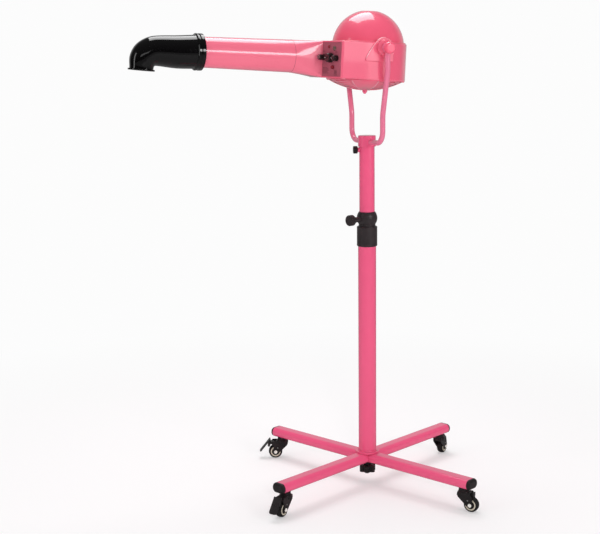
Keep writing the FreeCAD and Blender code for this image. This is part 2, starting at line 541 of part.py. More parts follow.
def make_duct():
    """Square-to-round transition and the long conical duct."""
    throat_y, throat_w = (THROAT_NEAR + THROAT_FAR) / 2, (THROAT_FAR - THROAT_NEAR) / 2
    throat_z, throat_h = (HOUSING_TOP + HOUSING_BOTTOM) / 2, (HOUSING_TOP - HOUSING_BOTTOM) / 2
    start, end, skin = THROAT_X - 0.1, SEAM_X + 0.15, 1.4

    def body(inset, extra):
        mouth = section_wire(start + extra, throat_y, throat_z, throat_w - inset, throat_h - inset, 6.0 - inset)
        collar = section_wire(end - extra, DUCT_Y, DUCT_Z, DUCT_SEAM_R - inset, DUCT_SEAM_R - inset, DUCT_SEAM_R - inset)
        return Part.makeLoft([mouth, collar], True, True)

    nodes["outlet_transition"] = place_head(body(0, 0).cut(body(skin, 0.01)))
    start = vec(SEAM_X - 0.15, DUCT_Y, DUCT_Z)
    taper_end = ELBOW_START_X + 3
    cone_len, end_len = SEAM_X - 0.15 - taper_end, taper_end - DUCT_END_X
    profile = [(DUCT_SEAM_R, 0), (DUCT_END_R, cone_len), (DUCT_END_R, cone_len + end_len),
               (DUCT_END_R - DUCT_WALL, cone_len + end_len), (DUCT_END_R - DUCT_WALL, cone_len),
               (DUCT_SEAM_R - DUCT_WALL, 0)]
    nodes["duct_tube"] = place_head(along(revolved(profile), -X, start))


def make_heater():
    """Crossed insulating plates, resistance rings round them and a cut-out thermostat."""
    plate_start, plate_end, half, t = -230.0, -340.0, 23.0, 1.2
    centre = (DUCT_Y, DUCT_Z)
    upright = block((plate_end, plate_start), (centre[0] - t, centre[0] + t), (centre[1] - half, centre[1] + half))
    level = block((plate_end, plate_start), (centre[0] - half, centre[0] + half), (centre[1] - t, centre[1] + t))
    feet = []
    for x in (plate_start - 6, plate_end + 6):
        duct_r = DUCT_SEAM_R + (DUCT_END_R - DUCT_SEAM_R) * (SEAM_X - x) / (SEAM_X - ELBOW_START_X)
        reach = duct_r - DUCT_WALL - 0.06
        feet.append(block((x - 3, x + 3), (centre[0] - t, centre[0] + t), (centre[1] - reach, centre[1] + reach)))
    nodes["heater_frame"] = place_head(union([upright, level] + feet))
    rings = []
    for i in range(8):
        at = vec(plate_start - 18 - 11 * i, DUCT_Y, DUCT_Z)
        rings.append(Part.makeTorus(half + 2.2, 1.0, at, X))
    nodes["heater_coils"] = place_head(Part.Compound(rings))
    body = union([cylinder(8.0, 6.0, vec(plate_end - 0.05, DUCT_Y, DUCT_Z), -X),
                  cylinder(5.0, 9.0, vec(plate_end - 0.05, DUCT_Y, DUCT_Z), -X)])
    nodes["thermostat"] = place_head(body)


def make_blower():
    """Motor on the box's top plate, with its shaft and squirrel-cage impeller below."""
    flange_r, flange_t = 46.0, 2.5
    bottom = MOTOR_BOTTOM
    can = cylinder(MOTOR_R, MOTOR_TOP - bottom, vec(0, 0, bottom))
    can = can.makeFillet(5.0, edges_where(can, at_height(MOTOR_TOP)))
    flange = cylinder(flange_r, flange_t, vec(0, 0, bottom))
    nose = cylinder(16.0, 9.0, vec(0, 0, bottom - 9.0))
    cap = cylinder(12.0, 5.0, vec(0, 0, MOTOR_TOP))
    motor = union([can, flange, nose, cap]).cut(cylinder(SHAFT_R + FIT, 80, vec(0, 0, bottom - 12)))
    nodes["motor"] = place_head(motor)
    nodes["motor_shaft"] = place_head(cylinder(SHAFT_R, MOTOR_TOP + 3 - IMPELLER_BOTTOM, vec(0, 0, IMPELLER_BOTTOM)))
    back = cylinder(IMPELLER_R, 1.6, vec(0, 0, IMPELLER_TOP - 1.6))
    hub = cylinder(12.0, 24.0, vec(0, 0, IMPELLER_TOP - 24.0))
    ring = tube(IMPELLER_R, IMPELLER_R - 12, 1.6, vec(0, 0, IMPELLER_BOTTOM))
    blades = []
    for i in range(BLADES):
        blade = block((IMPELLER_R - 13, IMPELLER_R - 0.5), (-0.6, 0.6), (IMPELLER_BOTTOM + 0.5, IMPELLER_TOP - 0.5))
        blade = turned(blade, 25, Z, vec(IMPELLER_R - 7, 0, 0))
        blades.append(turned(blade, i * 360 / BLADES))
    limit = cylinder(IMPELLER_R, IMPELLER_TOP - IMPELLER_BOTTOM, vec(0, 0, IMPELLER_BOTTOM))
    wheel = union([back, hub, ring] + blades).common(limit).cut(cylinder(SHAFT_R, 80, vec(0, 0, -70)))
    nodes["impeller"] = place_head(wheel)


# ---- control panel ------------------------------------------------------------------
# name: (distance from the front corner along the panel, height, radius, length)
CONTROLS = {"timer_knob": (20.0, -29.0, 7.5, 12.0), "heat_knob": (42.5, -28.0, 12.0, 12.0),
            "fan_knob": (67.5, -27.0, 7.5, 17.0)}
LAMPS = {"pilot_lamp_red": (50.0, -2.0, 4.0), "pilot_lamp_green": (29.0, -6.0, 5.2)}
RESET_BUTTON = (33.0, -50.0, 5.4)
PANEL_CORNER = vec(CORNER_X, -HOUSING_R, 0)
PANEL_ALONG = (vec(THROAT_X, THROAT_NEAR, 0) - PANEL_CORNER).normalize()
PANEL_NORMAL = PANEL_ALONG.cross(Z) * -1
PANEL_WIDTH = (vec(THROAT_X, THROAT_NEAR, 0) - PANEL_CORNER).Length
PLATE_T = 1.2


def on_panel(distance, height, out=0.0):
    return PANEL_CORNER + PANEL_ALONG * distance + Z * height + PANEL_NORMAL * out


def panel_cylinder(r, distance, height, low, high):
    return cylinder(r, high - low, on_panel(distance, height, low), PANEL_NORMAL)


def pointer_knob(r, length):
    """Knob on +Z: skirt, fluted grip and a raised pointer ridge."""
    skirt = cylinder(r, 2.5)
    grip_r = r * 0.86
    grip = moved(knurled(grip_r, length - 2.4, 12, 0.35), z=2.4)
    ridge = block((-r * 0.16, r * 0.16), (0, grip_r - 1.2), (length - 0.5, length + 0.8))
    return union([skirt, grip, ridge])


def make_controls():
    out = PLATE_T + 0.1
    margin, low, high = 4.0, HOUSING_BOTTOM + 3.5, HOUSING_TOP - 3.5
    corners = [on_panel(margin, low, 0.05), on_panel(PANEL_WIDTH - 1.5, low, 0.05),
               on_panel(PANEL_WIDTH - 1.5, high, 0.05), on_panel(margin, high, 0.05)]
    plate = polygon_face(corners).extrude(PANEL_NORMAL * PLATE_T)
    for distance, height, _, _ in CONTROLS.values():
        plate = plate.cut(panel_cylinder(3.0 + FIT, distance, height, -1, 4))
    plate = plate.cut(panel_cylinder(RESET_BUTTON[2] - 1.0 + 0.15, RESET_BUTTON[0], RESET_BUTTON[1], -1, 4))
    nodes["panel_plate"] = place_head(plate)
    for name, (distance, height, r, length) in CONTROLS.items():
        knob = moved(pointer_knob(r, length), z=out + GAP)
        shaft = cylinder(3.0, out + GAP + 7, vec(0, 0, -6))
        knob = union([knob, shaft])
        nodes[name] = place_head(along(knob, PANEL_NORMAL, on_panel(distance, height)))
    for name, (distance, height, r) in LAMPS.items():
        lens = panel_cylinder(r, distance, height, out - 0.03, out + 2.2)
        face = on_panel(distance, height, out + 2.2)
        lens = lens.makeFillet(1.6, edges_where(lens, lambda e: e.CenterOfMass.distanceToPoint(face) < 0.1))
        nodes[name] = place_head(lens)
    distance, height, r = RESET_BUTTON
    cap = panel_cylinder(r - 1.0, distance, height, -5.0, out + 4.2)
    face = on_panel(distance, height, out + 4.2)
    cap = cap.makeFillet(1.0, edges_where(cap, lambda e: e.CenterOfMass.distanceToPoint(face) < 0.1))
    nodes["reset_button"] = place_head(cap)


def make_pad():
    """Fairing plate round a tilt boss: round top, and a bulging flank that falls towards the nozzle."""
    flank, tail, foot = direction(PAD_FLANK_ANGLE) * PAD_R, vec(-50, 0, -33), vec(PAD_R, 0, -33)
    left, top, right = vec(flank.x, 0, flank.y), vec(0, 0, PAD_R), vec(PAD_R, 0, 0)
    chord = left - tail
    bulge = (tail + left) * 0.5 + vec(-chord.z, 0, chord.x).normalize() * PAD_BULGE
    edges = [Part.Arc(left, top, right).toShape(), Part.makeLine(right, foot), Part.makeLine(foot, tail),
             Part.Arc(tail, bulge, left).toShape()]
    pad = face_of(edges).extrude(vec(0, PAD_T, 0))
    uprights = edges_where(pad, lambda e: e.BoundBox.YLength > PAD_T - 0.01)
    smooth_joint = edges_where(pad, lambda e: e.BoundBox.XMin > PAD_R - 0.1 and abs(e.BoundBox.ZMax) < 0.1)
    sharp = [e for e in uprights if not any(e.isSame(joint) for joint in smooth_joint)]
    pad = pad.makeFillet(4.0, sharp)
    return pad.makeChamfer(PAD_EDGE_R, edges_where(pad, lambda e: e.BoundBox.YMax < 0.01))


def make_pivots():
    """Tilt bosses on the box's sides and the round knobs that clamp the yoke's eyes against them."""
    eye_inner, eye_outer = ARM_HIGH - EYE_T / 2, ARM_HIGH + EYE_T / 2
    bosses = []
    for side, name in ((-1, "pivot_knob_front"), (1, "pivot_knob_rear")):
        axis = vec(0, side, 0)
        boss_bore, boss_end = SCREW_R + FIT, eye_inner - GAP - HOUSING_R
        boss = revolved([(boss_bore, 0.05), (19.5, 0.05), (19.5, 7.5), (17.0, 10.5), (12.0, 12.0),
                         (12.0, boss_end), (boss_bore, boss_end)])
        boss = along(boss, axis, axis * HOUSING_R)
        pad = make_pad()
        if side > 0:
            pad = pad.mirror(vec(0, 0, 0), Y)
        pad = moved(pad, y=side * (HOUSING_R + 0.05 + PAD_T))
        pad = pad.cut(cylinder(SCREW_R + FIT, 300, vec(0, -150, 0), Y))
        bosses.append(union([boss, pad]))
        cap = cylinder(14.0, 13.0, vec(0, 0, eye_outer + GAP))
        cap = cap.makeFillet(5.8, edges_where(cap, at_height(eye_outer + GAP + 13.0)))
        cap = cap.makeFillet(2.0, edges_where(cap, at_height(eye_outer + GAP)))
        screw = cylinder(SCREW_R, eye_outer + 2 - HOUSING_R - 1, vec(0, 0, HOUSING_R + 1))
        nodes[name] = place_head(along(union([cap, screw]), axis))
    nodes["tilt_bosses"] = place_head(Part.Compound(bosses))


def make_gland():
    """Cable inlet on the side away from the panel: hexagon, tapered nose and a clear bore."""
    at = vec(-78.0, HOUSING_R + 0.05, -15.0)
    hexagon = polygon_face([direction(60 * i) * 11 for i in range(6)]).extrude(Z * 5)
    nose = revolved([(3.6, 4.9), (8.5, 4.9), (8.5, 9), (6.2, 22), (3.6, 22)])
    gland = union([hexagon, nose]).cut(cylinder(3.6, 30, vec(0, 0, -1)))
    nodes["cable_gland"] = place_head(along(gland, Y, at))


# ---- elbow nozzle -------------------------------------------------------------------
def bend_centre(angle, size):
    """Centre of the bend's section at an angle, measured from the duct's axis."""
    a = math.radians(angle)
    arm = BEND_INNER_R + size / 2
    return vec(BEND_X - arm * math.sin(a), DUCT_Y, DUCT_Z + BEND_Z + arm * math.cos(a))


def bend_normal(angle):
    a = math.radians(angle)
    return vec(-math.cos(a), 0, -math.sin(a))


def elbow_body(inset, start_x):
    """Lofted bend from the collar to the mouth, drawn in by the given wall."""
    stations = [(vec(start_x, DUCT_Y, DUCT_Z), -X, 39.4), (vec(-475, DUCT_Y, DUCT_Z - 2.0), -X, 38.0)]
    for angle, size in BEND_STATIONS:
        stations.append((bend_centre(angle, size), bend_normal(angle), size / 2))
    wires = [Part.Wire(Part.makeCircle(r - inset, c, n)) for c, n, r in stations]
    return Part.makeLoft(wires, True, False)


def make_elbow():
    angle, size = BEND_STATIONS[-1]
    mouth, out = bend_centre(angle, size), bend_normal(angle)
    neck = cylinder(size / 2, MOUTH_LENGTH, mouth - out * 0.5, out)
    lip = cylinder(LIP_R, LIP_T, mouth + out * (MOUTH_LENGTH - LIP_T), out)
    lip = lip.makeFillet(1.2, lip.Edges[:1] + lip.Edges[2:3])
    collar = revolved([(30, 0), (42.2, 0), (43.0, 1.2), (43.0, 8.2), (42.0, 9.6), (41.4, 10.4),
                       (41.4, 12.6), (43.0, 13.2), (43.0, 16.0), (42.0, 17.2), (39.0, 18.6), (30, 18.6)])
    collar = along(collar, -X, vec(ELBOW_START_X, DUCT_Y, DUCT_Z))
    outer = union([elbow_body(0, ELBOW_BODY_X), collar, neck, lip])
    socket = cylinder(DUCT_END_R + FIT, 17.5, vec(ELBOW_START_X + 1, DUCT_Y, DUCT_Z), -X)
    bore = cylinder(size / 2 - ELBOW_WALL, MOUTH_LENGTH + 2, mouth - out * 0.5, out)
    nodes["elbow_nozzle"] = place_head(outer.cut([elbow_body(ELBOW_WALL, ELBOW_BODY_X - 0.01), socket, bore]))


# ---- assembly -----------------------------------------------------------------------
def export_all():
    """Centres the whole object's footprint on the Z axis and writes one STEP file per node."""
    box = FreeCAD.BoundBox()
    for shape in nodes.values():
        box.add(shape.optimalBoundingBox(False, False))
    shift = vec(-box.Center.x, -box.Center.y, 0)
    print("shift to the footprint's centre", shift, "size", box.XLength, box.YLength, box.ZMax, box.ZMin)
    for name, shape in nodes.items():
        shape.translate(shift)
        if not shape.isValid():
            print("not valid:", name)
        shape.exportStep("parts/" + name + ".step")


os.makedirs("parts", exist_ok=True)
make_base()
make_pole()
make_yoke()
make_housing()
make_dome()
make_pan()
make_inlet_ring()
make_duct()
make_heater()
make_blower()
make_controls()
make_pivots()
make_gland()
make_elbow()
export_all()
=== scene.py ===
import json
import math

import bmesh
import bpy
from mathutils import Matrix, Vector


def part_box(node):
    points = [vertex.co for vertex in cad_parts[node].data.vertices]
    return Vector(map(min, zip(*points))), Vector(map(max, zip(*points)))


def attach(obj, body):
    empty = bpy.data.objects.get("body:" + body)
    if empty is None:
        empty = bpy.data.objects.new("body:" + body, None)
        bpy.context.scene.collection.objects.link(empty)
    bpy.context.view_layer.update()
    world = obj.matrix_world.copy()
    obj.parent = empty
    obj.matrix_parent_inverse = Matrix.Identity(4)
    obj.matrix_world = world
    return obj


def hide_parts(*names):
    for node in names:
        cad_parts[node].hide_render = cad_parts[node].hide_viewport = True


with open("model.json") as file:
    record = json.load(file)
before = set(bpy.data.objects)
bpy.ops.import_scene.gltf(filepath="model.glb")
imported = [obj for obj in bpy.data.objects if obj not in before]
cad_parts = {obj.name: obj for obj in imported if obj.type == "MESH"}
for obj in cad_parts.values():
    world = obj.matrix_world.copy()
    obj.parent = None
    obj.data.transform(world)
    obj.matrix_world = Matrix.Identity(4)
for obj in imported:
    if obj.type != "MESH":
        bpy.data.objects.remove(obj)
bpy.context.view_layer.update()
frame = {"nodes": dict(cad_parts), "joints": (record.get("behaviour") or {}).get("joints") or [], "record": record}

NODES = frame["nodes"]
JOINTS = {j["name"]: j for j in frame["joints"]}
CASTORS = ("front_left", "front_right", "rear_left", "rear_right")
BRAKED = ("front_left", "rear_left")
MM = 0.001
UP = Vector((0, 0, 1))
Y_AXIS = Vector((0, 1, 0))


# ---- frames taken from the record ---------------------------------------------------------------
def joint_pos(name):
    return Vector(JOINTS[name]["pos_m"])


def joint_axis(name):
    return Vector(JOINTS[name]["axis"]).normalized()


def frame_matrix(origin, x, z):
    """Local frame with its Z along z and its X as near to x as it can be."""
    z = z.normalized()
    y = z.cross(x).normalized()
    x = y.cross(z)
    m = Matrix((x, y, z)).transposed().to_4x4()
    m.translation = origin
    return m


def mm(*values):
    """Values given in millimetres, in metres."""
    return tuple(v * MM for v in values)


def millimetres(profile):
    """Profile given in millimetres, in metres."""
    return [mm(r, z) for r, z in profile]


def at_point(x, y, z):
    """Place matrix of a point given in millimetres."""
    return Matrix.Translation(mm(x, y, z))


def turned(degrees, axis):
    """Matrix of a turn about one of the axes."""
    return Matrix.Rotation(math.radians(degrees), 4, axis)


def at_pole(z):
    """Place matrix on the pole's axis, at a height in metres."""
    return Matrix.Translation((POLE_AXIS.x, POLE_AXIS.y, z))


HEAD = frame_matrix(joint_pos("head_tilt"), -joint_axis("elbow_turn"), joint_axis("fan_spin"))
POLE_AXIS = joint_pos("yoke_swivel")


# ---- materials ----------------------------------------------------------------------------------
TONE_STOPS = (0.35, 0.65)
TONE_DETAIL, SMEAR_SCALE, SMEAR_DETAIL, GRAIN_DETAIL = 4.0, 38.0, 6.0, 3.0
LOWEST_ROUGH = 0.02
LINE_SCALE, LINE_DETAIL, LINE_STRENGTH, LINE_DEPTH = 30.0, 2.0, 0.25, 0.0002


def noise(tree, vector, scale, detail):
    """Noise texture read at a vector."""
    texture = tree.nodes.new("ShaderNodeTexNoise")
    texture.inputs["Scale"].default_value = scale
    texture.inputs["Detail"].default_value = detail
    tree.links.new(vector, texture.inputs["Vector"])
    return texture.outputs["Fac"]


def bump_surface(tree, height, strength, depth):
    """Bumps the principled shader's surface by a height."""
    bump = tree.nodes.new("ShaderNodeBump")
    bump.inputs["Strength"].default_value = strength
    bump.inputs["Distance"].default_value = depth
    tree.links.new(height, bump.inputs["Height"])
    tree.links.new(bump.outputs["Normal"], tree.nodes["Principled BSDF"].inputs["Normal"])


def material(name, base, rough, metallic=0.0, coat=0.0, tone=0.04, tone_scale=6.0,
             rough_spread=0.05, grain=None, specular=0.5, coat_rough=0.04):
    """Node material: its colour drifts between two tones, its roughness varies, and a grain of
    (scale, strength, depth) bumps the surface."""
    m = bpy.data.materials.new(name)
    m.use_nodes = True
    tree = m.node_tree
    shader = tree.nodes["Principled BSDF"]
    shader.inputs["Metallic"].default_value = metallic
    shader.inputs["Coat Weight"].default_value = coat
    shader.inputs["Coat Roughness"].default_value = coat_rough
    shader.inputs["Specular IOR Level"].default_value = specular
    spot = tree.nodes.new("ShaderNodeTexCoord").outputs["Object"]
    cloud = noise(tree, spot, tone_scale, TONE_DETAIL)
    ramp = tree.nodes.new("ShaderNodeValToRGB")
    for element, at, share in zip(ramp.color_ramp.elements, TONE_STOPS, (1 - tone, 1 + tone)):
        element.position = at
        element.color = (*(min(1, c * share) for c in base), 1)
    tree.links.new(cloud, ramp.inputs["Fac"])
    tree.links.new(ramp.outputs["Color"], shader.inputs["Base Color"])
    smear = noise(tree, spot, SMEAR_SCALE, SMEAR_DETAIL)
    spread = tree.nodes.new("ShaderNodeMapRange")
    spread.inputs["To Min"].default_value = max(LOWEST_ROUGH, rough - rough_spread)
    spread.inputs["To Max"].default_value = rough + rough_spread
    tree.links.new(smear, spread.inputs["Value"])
    tree.links.new(spread.outputs["Result"], shader.inputs["Roughness"])
    if grain:
        scale, strength, depth = grain
        bump_surface(tree, noise(tree, spot, scale, GRAIN_DETAIL), strength, depth)
    return m


def brushed(name, base, rough, stretch):
    """Metal with drawn lines: noise stretched along one way."""
    m = material(name, base, rough, metallic=1.0, tone=0.06)
    tree = m.node_tree
    coords = tree.nodes.new("ShaderNodeTexCoord")
    mapping = tree.nodes.new("ShaderNodeMapping")
    mapping.inputs["Scale"].default_value = stretch
    tree.links.new(coords.outputs["Object"], mapping.inputs["Vector"])
    lines = noise(tree, mapping.outputs["Vector"], LINE_SCALE, LINE_DETAIL)
    bump_surface(tree, lines, LINE_STRENGTH, LINE_DEPTH)
    return m


MAT = {
    "pink_gloss": material("pink_enamel", (0.84, 0.115, 0.205), 0.34, coat=1.0, tone=0.02,
                           tone_scale=4.0, grain=(420.0, 0.02, 0.0002), specular=0.35),
    "pink_duct": material("duct_enamel", (0.84, 0.155, 0.240), 0.34, coat=1.0, tone=0.02,
                          tone_scale=4.0, grain=(420.0, 0.02, 0.0002), specular=0.35),
    "pink_dome": material("pink_moulding", (0.84, 0.100, 0.185), 0.36, coat=1.0, tone=0.02,
                          tone_scale=5.0, grain=(300.0, 0.015, 0.0002), specular=0.35),
    "pink_pole": material("rose_enamel", (0.82, 0.085, 0.210), 0.34, coat=0.9, tone=0.025,
                          tone_scale=7.0, grain=(500.0, 0.07, 0.0004), coat_rough=0.12),
    "pink_rod": material("rod_enamel", (0.76, 0.165, 0.285), 0.30, coat=1.0, tone=0.03,
                         tone_scale=9.0, grain=(500.0, 0.05, 0.0003), coat_rough=0.10),
    # painted highlight: pink paler than the enamel, for edge beads, standing in for light caught along their edges
    "painted_highlight": material("painted_highlight_enamel", (0.90, 0.42, 0.50), 0.22, coat=1.0, tone=0.05,
                           tone_scale=60.0),
    "black_gloss": material("black_gloss", (0.0012, 0.0009, 0.0012), 0.08, coat=0.5, tone=0.25,
                            tone_scale=12.0, rough_spread=0.03, grain=(160.0, 0.01, 0.0001),
                            specular=0.3, coat_rough=0.02),
    "black_matte": material("black_moulding", (0.014, 0.010, 0.011), 0.40, tone=0.2,
                            tone_scale=40.0, grain=(1400.0, 0.25, 0.0002), specular=0.4),
    "knob_black": material("knob_moulding", (0.006, 0.005, 0.005), 0.20, coat=0.7, tone=0.3,
                           tone_scale=60.0, grain=(700.0, 0.12, 0.0002), coat_rough=0.10),
    "collar_black": material("collar_moulding", (0.026, 0.018, 0.020), 0.38, tone=0.25,
                             tone_scale=30.0, grain=(900.0, 0.3, 0.0003)),
    "rubber": material("tyre_rubber", (0.012, 0.010, 0.010), 0.58, tone=0.3, tone_scale=70.0,
                       grain=(1100.0, 0.35, 0.0002), specular=0.3),
    "hub_grey": material("hub_plastic", (0.016, 0.013, 0.012), 0.38, tone=0.2, tone_scale=60.0,
                         grain=(900.0, 0.15, 0.0002)),
    "ring_beige": material("ring_plastic", (0.60, 0.53, 0.43), 0.38, tone=0.08, tone_scale=90.0,
                           grain=(800.0, 0.1, 0.0002)),
    "steel": brushed("zinc_steel", (0.62, 0.61, 0.60), 0.30, (1.0, 1.0, 14.0)),
    "panel": material("panel_film", (0.36, 0.080, 0.118), 0.34, coat=0.3, tone=0.08,
                      tone_scale=18.0, grain=(2200.0, 0.08, 0.0001), coat_rough=0.15),
    "print_dark": material("print_dark", (0.065, 0.012, 0.018), 0.5, tone=0.1, tone_scale=300.0),
    "print_light": material("print_light", (0.62, 0.56, 0.56), 0.4, tone=0.08, tone_scale=300.0),
    "seam_dark": material("seam_shadow", (0.24, 0.020, 0.045), 0.5, tone=0.15, tone_scale=90.0),
    "lamp_red": material("lamp_red", (0.20, 0.008, 0.016), 0.16, coat=0.5, tone=0.25,
                         tone_scale=160.0),
    "lamp_green": material("lamp_green", (0.090, 0.075, 0.055), 0.18, coat=0.5, tone=0.3,
                           tone_scale=160.0),
    "motor": brushed("cast_aluminium", (0.55, 0.55, 0.56), 0.42, (2.0, 2.0, 20.0)),
    "mica": material("mica_board", (0.46, 0.37, 0.24), 0.55, tone=0.2, tone_scale=120.0,
                     grain=(600.0, 0.3, 0.0003)),
    "nichrome": brushed("heated_wire", (0.30, 0.27, 0.25), 0.35, (8.0, 8.0, 8.0)),
    "nylon": material("nylon", (0.70, 0.69, 0.63), 0.45, tone=0.04, tone_scale=50.0,
                      grain=(700.0, 0.1, 0.0002)),
    "axle_cap": material("cap_white", (0.78, 0.75, 0.70), 0.30, tone=0.05, tone_scale=200.0),
}
# nodes whose material isn't the one of their slot
ODD_MATERIALS = {"height_collar": "collar_black", "collar_knob": "collar_black",
                 "timer_knob": "knob_black", "heat_knob": "knob_black", "fan_knob": "knob_black",
                 "grille_nut": "pink_pole", "reset_button": "lamp_red", "yoke_rod": "pink_rod",
                 "castor_stems": "black_matte"}
ODD_MATERIALS.update({"castor_%s_axle" % name: "axle_cap" for name in CASTORS})


def dress_cad_nodes():
    """Gives every node of the CAD model its material."""
    slots = {s["node"]: s["material_slot"] for s in frame["record"]["subparts"]}
    for name, node in NODES.items():
        node.data.materials.clear()
        node.data.materials.append(MAT[ODD_MATERIALS.get(name, slots[name])])
        for polygon in node.data.polygons:
            polygon.material_index = 0


# ---- mesh helpers -------------------------------------------------------------------------------
MERGE_DISTANCE = 1e-6


def piece(name, bm, mat, body, matrix, smooth=35.0):
    """Object from a bmesh that rides on a body; edges sharper than the angle stay sharp."""
    bmesh.ops.remove_doubles(bm, verts=bm.verts, dist=MERGE_DISTANCE)
    bmesh.ops.recalc_face_normals(bm, faces=bm.faces)
    mesh = bpy.data.meshes.new(name)
    bm.to_mesh(mesh)
    bm.free()
    mesh.transform(matrix)
    obj = bpy.data.objects.new(name, mesh)
    bpy.context.scene.collection.objects.link(obj)
    mesh.materials.append(MAT[mat])
    mesh.shade_smooth()
    mesh.set_sharp_from_angle(angle=math.radians(smooth))
    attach(obj, body)
    return obj


def circle(radius, steps):
    """Points (x, y) round a circle."""
    turns = [2 * math.pi * i / steps for i in range(steps)]
    return [(radius * math.cos(a), radius * math.sin(a)) for a in turns]


def loop_faces(bm, low, high):
    """Faces between two rings of vertices."""
    for i in range(len(low)):
        j = (i + 1) % len(low)
        bm.faces.new((low[i], low[j], high[j], high[i]))


def lathe(bm, profile, steps=64, closed=True):
    """Turns (radius, height) points about Z; closed joins the last point to the first."""
    rings = [[bm.verts.new((x, y, z)) for x, y in circle(r, steps)] for r, z in profile]
    pairs = list(zip(rings, rings[1:]))
    if closed:
        pairs.append((rings[-1], rings[0]))
    for low, high in pairs:
        loop_faces(bm, low, high)
    return rings


def bead_profile(radius, z, size, steps=10):
    """Round section for a bead: points of a small circle at a radius and height."""
    return [(radius + x, z + y) for x, y in circle(size, steps)]


def flat_box(bm, place, half):
    """Sharp box of half sizes at a place matrix; returns its vertices."""
    made = bmesh.ops.create_cube(bm, size=2.0, matrix=place @ Matrix.Diagonal((*half, 1)))
    return made["verts"]


def rounded_box(bm, place, half, edge, segments, profile=0.5):
    """Bevelled box of half sizes at a place matrix."""
    edges = {e for v in flat_box(bm, place, half) for e in v.link_edges}
    bmesh.ops.bevel(bm, geom=list(edges), offset=edge, segments=segments, affect="EDGES",
                    profile=profile)


# ---- castors, in millimetres where MM doesn't scale them ----------------------------------------
WHEEL_HALF, TYRE_GAP, TYRE_STEPS = *mm(8.5, 0.2), 72
# tyre: share of the half width, and drop below the tread in millimetres
TREAD = ((-0.30, 0), (-0.10, 0), (-0.06, 0.5), (0.06, 0.5), (0.10, 0), (0.30, 0))
SHOULDER = ((0.55, 0.3), (0.80, 1.3), (0.95, 2.8))
TYRE_LIP, TYRE_BORE = 0.4 * MM, 0.94
# hub: radius, or inset from the rim, and depth from the tyre's side
HUB_CORE = ((3.08, -0.4), (5.4, -0.4), (5.4, 2.6), (7.2, 3.2))
HUB_RIM = ((1.6, 1.0), (0, 0.4))
HUB_BOSSES, BOSS_CIRCLE, BOSS_DEPTH, BOSS_EDGE = 6, *mm(8.2, 2.2, 0.25)
BOSS_HALF, EDGE_SEGMENTS = mm(0.7, 0.7, 0.6), 2
# pale ring on each side: radius, and rise from its seat
RING = ((10.2, -1.4), (10.4, 0.1), (11.2, 0.55), (12.4, 0.55), (13.3, 0.1), (13.5, -1.4))
RING_SEAT = 0.5 * MM
# dust rings: radius, height, size
DUST_RINGS, DUST_STEPS = ((14.9, 45.6, 0.7), (14.4, 49.0, 0.5)), 48
# ribs on a cheek: x, z, half length
FORK_RIBS = ((-1.0, 44.4, 2.0), (5.0, 44.4, 2.0), (1.0, 40.6, 3.4))
RIB_Y, RIB_SECTION, RIB_EDGE = 12.1, (0.45, 0.8), 0.3 * MM
# rivet on a cheek: its place, and its section's radius and height
RIVET_PLACE, RIVET_STEPS = (14.0, 12.0, 30.0), 20
RIVET = ((0.01, 1.0), (0.9, 0.9), (1.7, 0.5), (1.9, -0.4))
PEDAL_HINGE, PEDAL_ALONG = Vector((35.0, 0, 53.4)), Vector((27.3, 0, -33.9)).normalized()
PEDAL_RIBS, PEDAL_FIRST_RIB, PEDAL_RIB_STEP, PEDAL_RIB_PROUD = 6, 16.0, 4.2, 0.1
PEDAL_RIB_HALF, PEDAL_RIB_EDGE = mm(0.7, 8.4, 0.5), 0.25 * MM


def tyre_profile(outer, inner):
    """Tyre section: a groove in the tread, round shoulders and a lip at the rim."""
    tread = [(outer - drop * MM, WHEEL_HALF * at) for at, drop in TREAD]
    shoulder = [(outer - drop * MM, WHEEL_HALF * at) for at, drop in SHOULDER]
    shoulder.append((inner + TYRE_LIP, WHEEL_HALF))
    inside = [(inner, WHEEL_HALF * TYRE_BORE), (inner, -WHEEL_HALF * TYRE_BORE)]
    mirrored = [(r, -z) for r, z in reversed(shoulder)]
    return mirrored + tread + shoulder + inside


def castor_wheel(name):
    """Tyre, hub with small bosses on both sides, and a pale ring on both sides."""
    spin, body = "wheel_%s_spin" % name, "wheel_" + name
    place = frame_matrix(joint_pos(spin), UP, joint_axis(spin))
    low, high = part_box("castor_%s_tyre" % name)
    outer = (high.z - low.z) / 2
    low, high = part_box("castor_%s_hub" % name)
    rim = (high.z - low.z) / 2
    bm = bmesh.new()
    lathe(bm, tyre_profile(outer, rim + TYRE_GAP), TYRE_STEPS)
    tyre = piece("tyre_" + name, bm, "rubber", body, place)
    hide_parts("castor_%s_tyre" % name)

    bm = bmesh.new()
    profile = [(r * MM, depth * MM - WHEEL_HALF) for r, depth in HUB_CORE]
    profile += [(rim - inset * MM, depth * MM - WHEEL_HALF) for inset, depth in HUB_RIM]
    lathe(bm, profile + [(r, -z) for r, z in reversed(profile)])
    for side in (-1, 1):
        for x, y in circle(BOSS_CIRCLE, HUB_BOSSES):
            at = Matrix.Translation((x, y, side * (WHEEL_HALF - BOSS_DEPTH)))
            rounded_box(bm, at, BOSS_HALF, BOSS_EDGE, EDGE_SEGMENTS)
    hub = piece("hub_" + name, bm, "hub_grey", body, place)
    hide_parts("castor_%s_hub" % name)

    bm = bmesh.new()
    for side in (-1, 1):
        seat = WHEEL_HALF - RING_SEAT
        lathe(bm, [(r * MM, side * (seat + rise * MM)) for r, rise in RING])
    piece("ring_" + name, bm, "ring_beige", body, place)


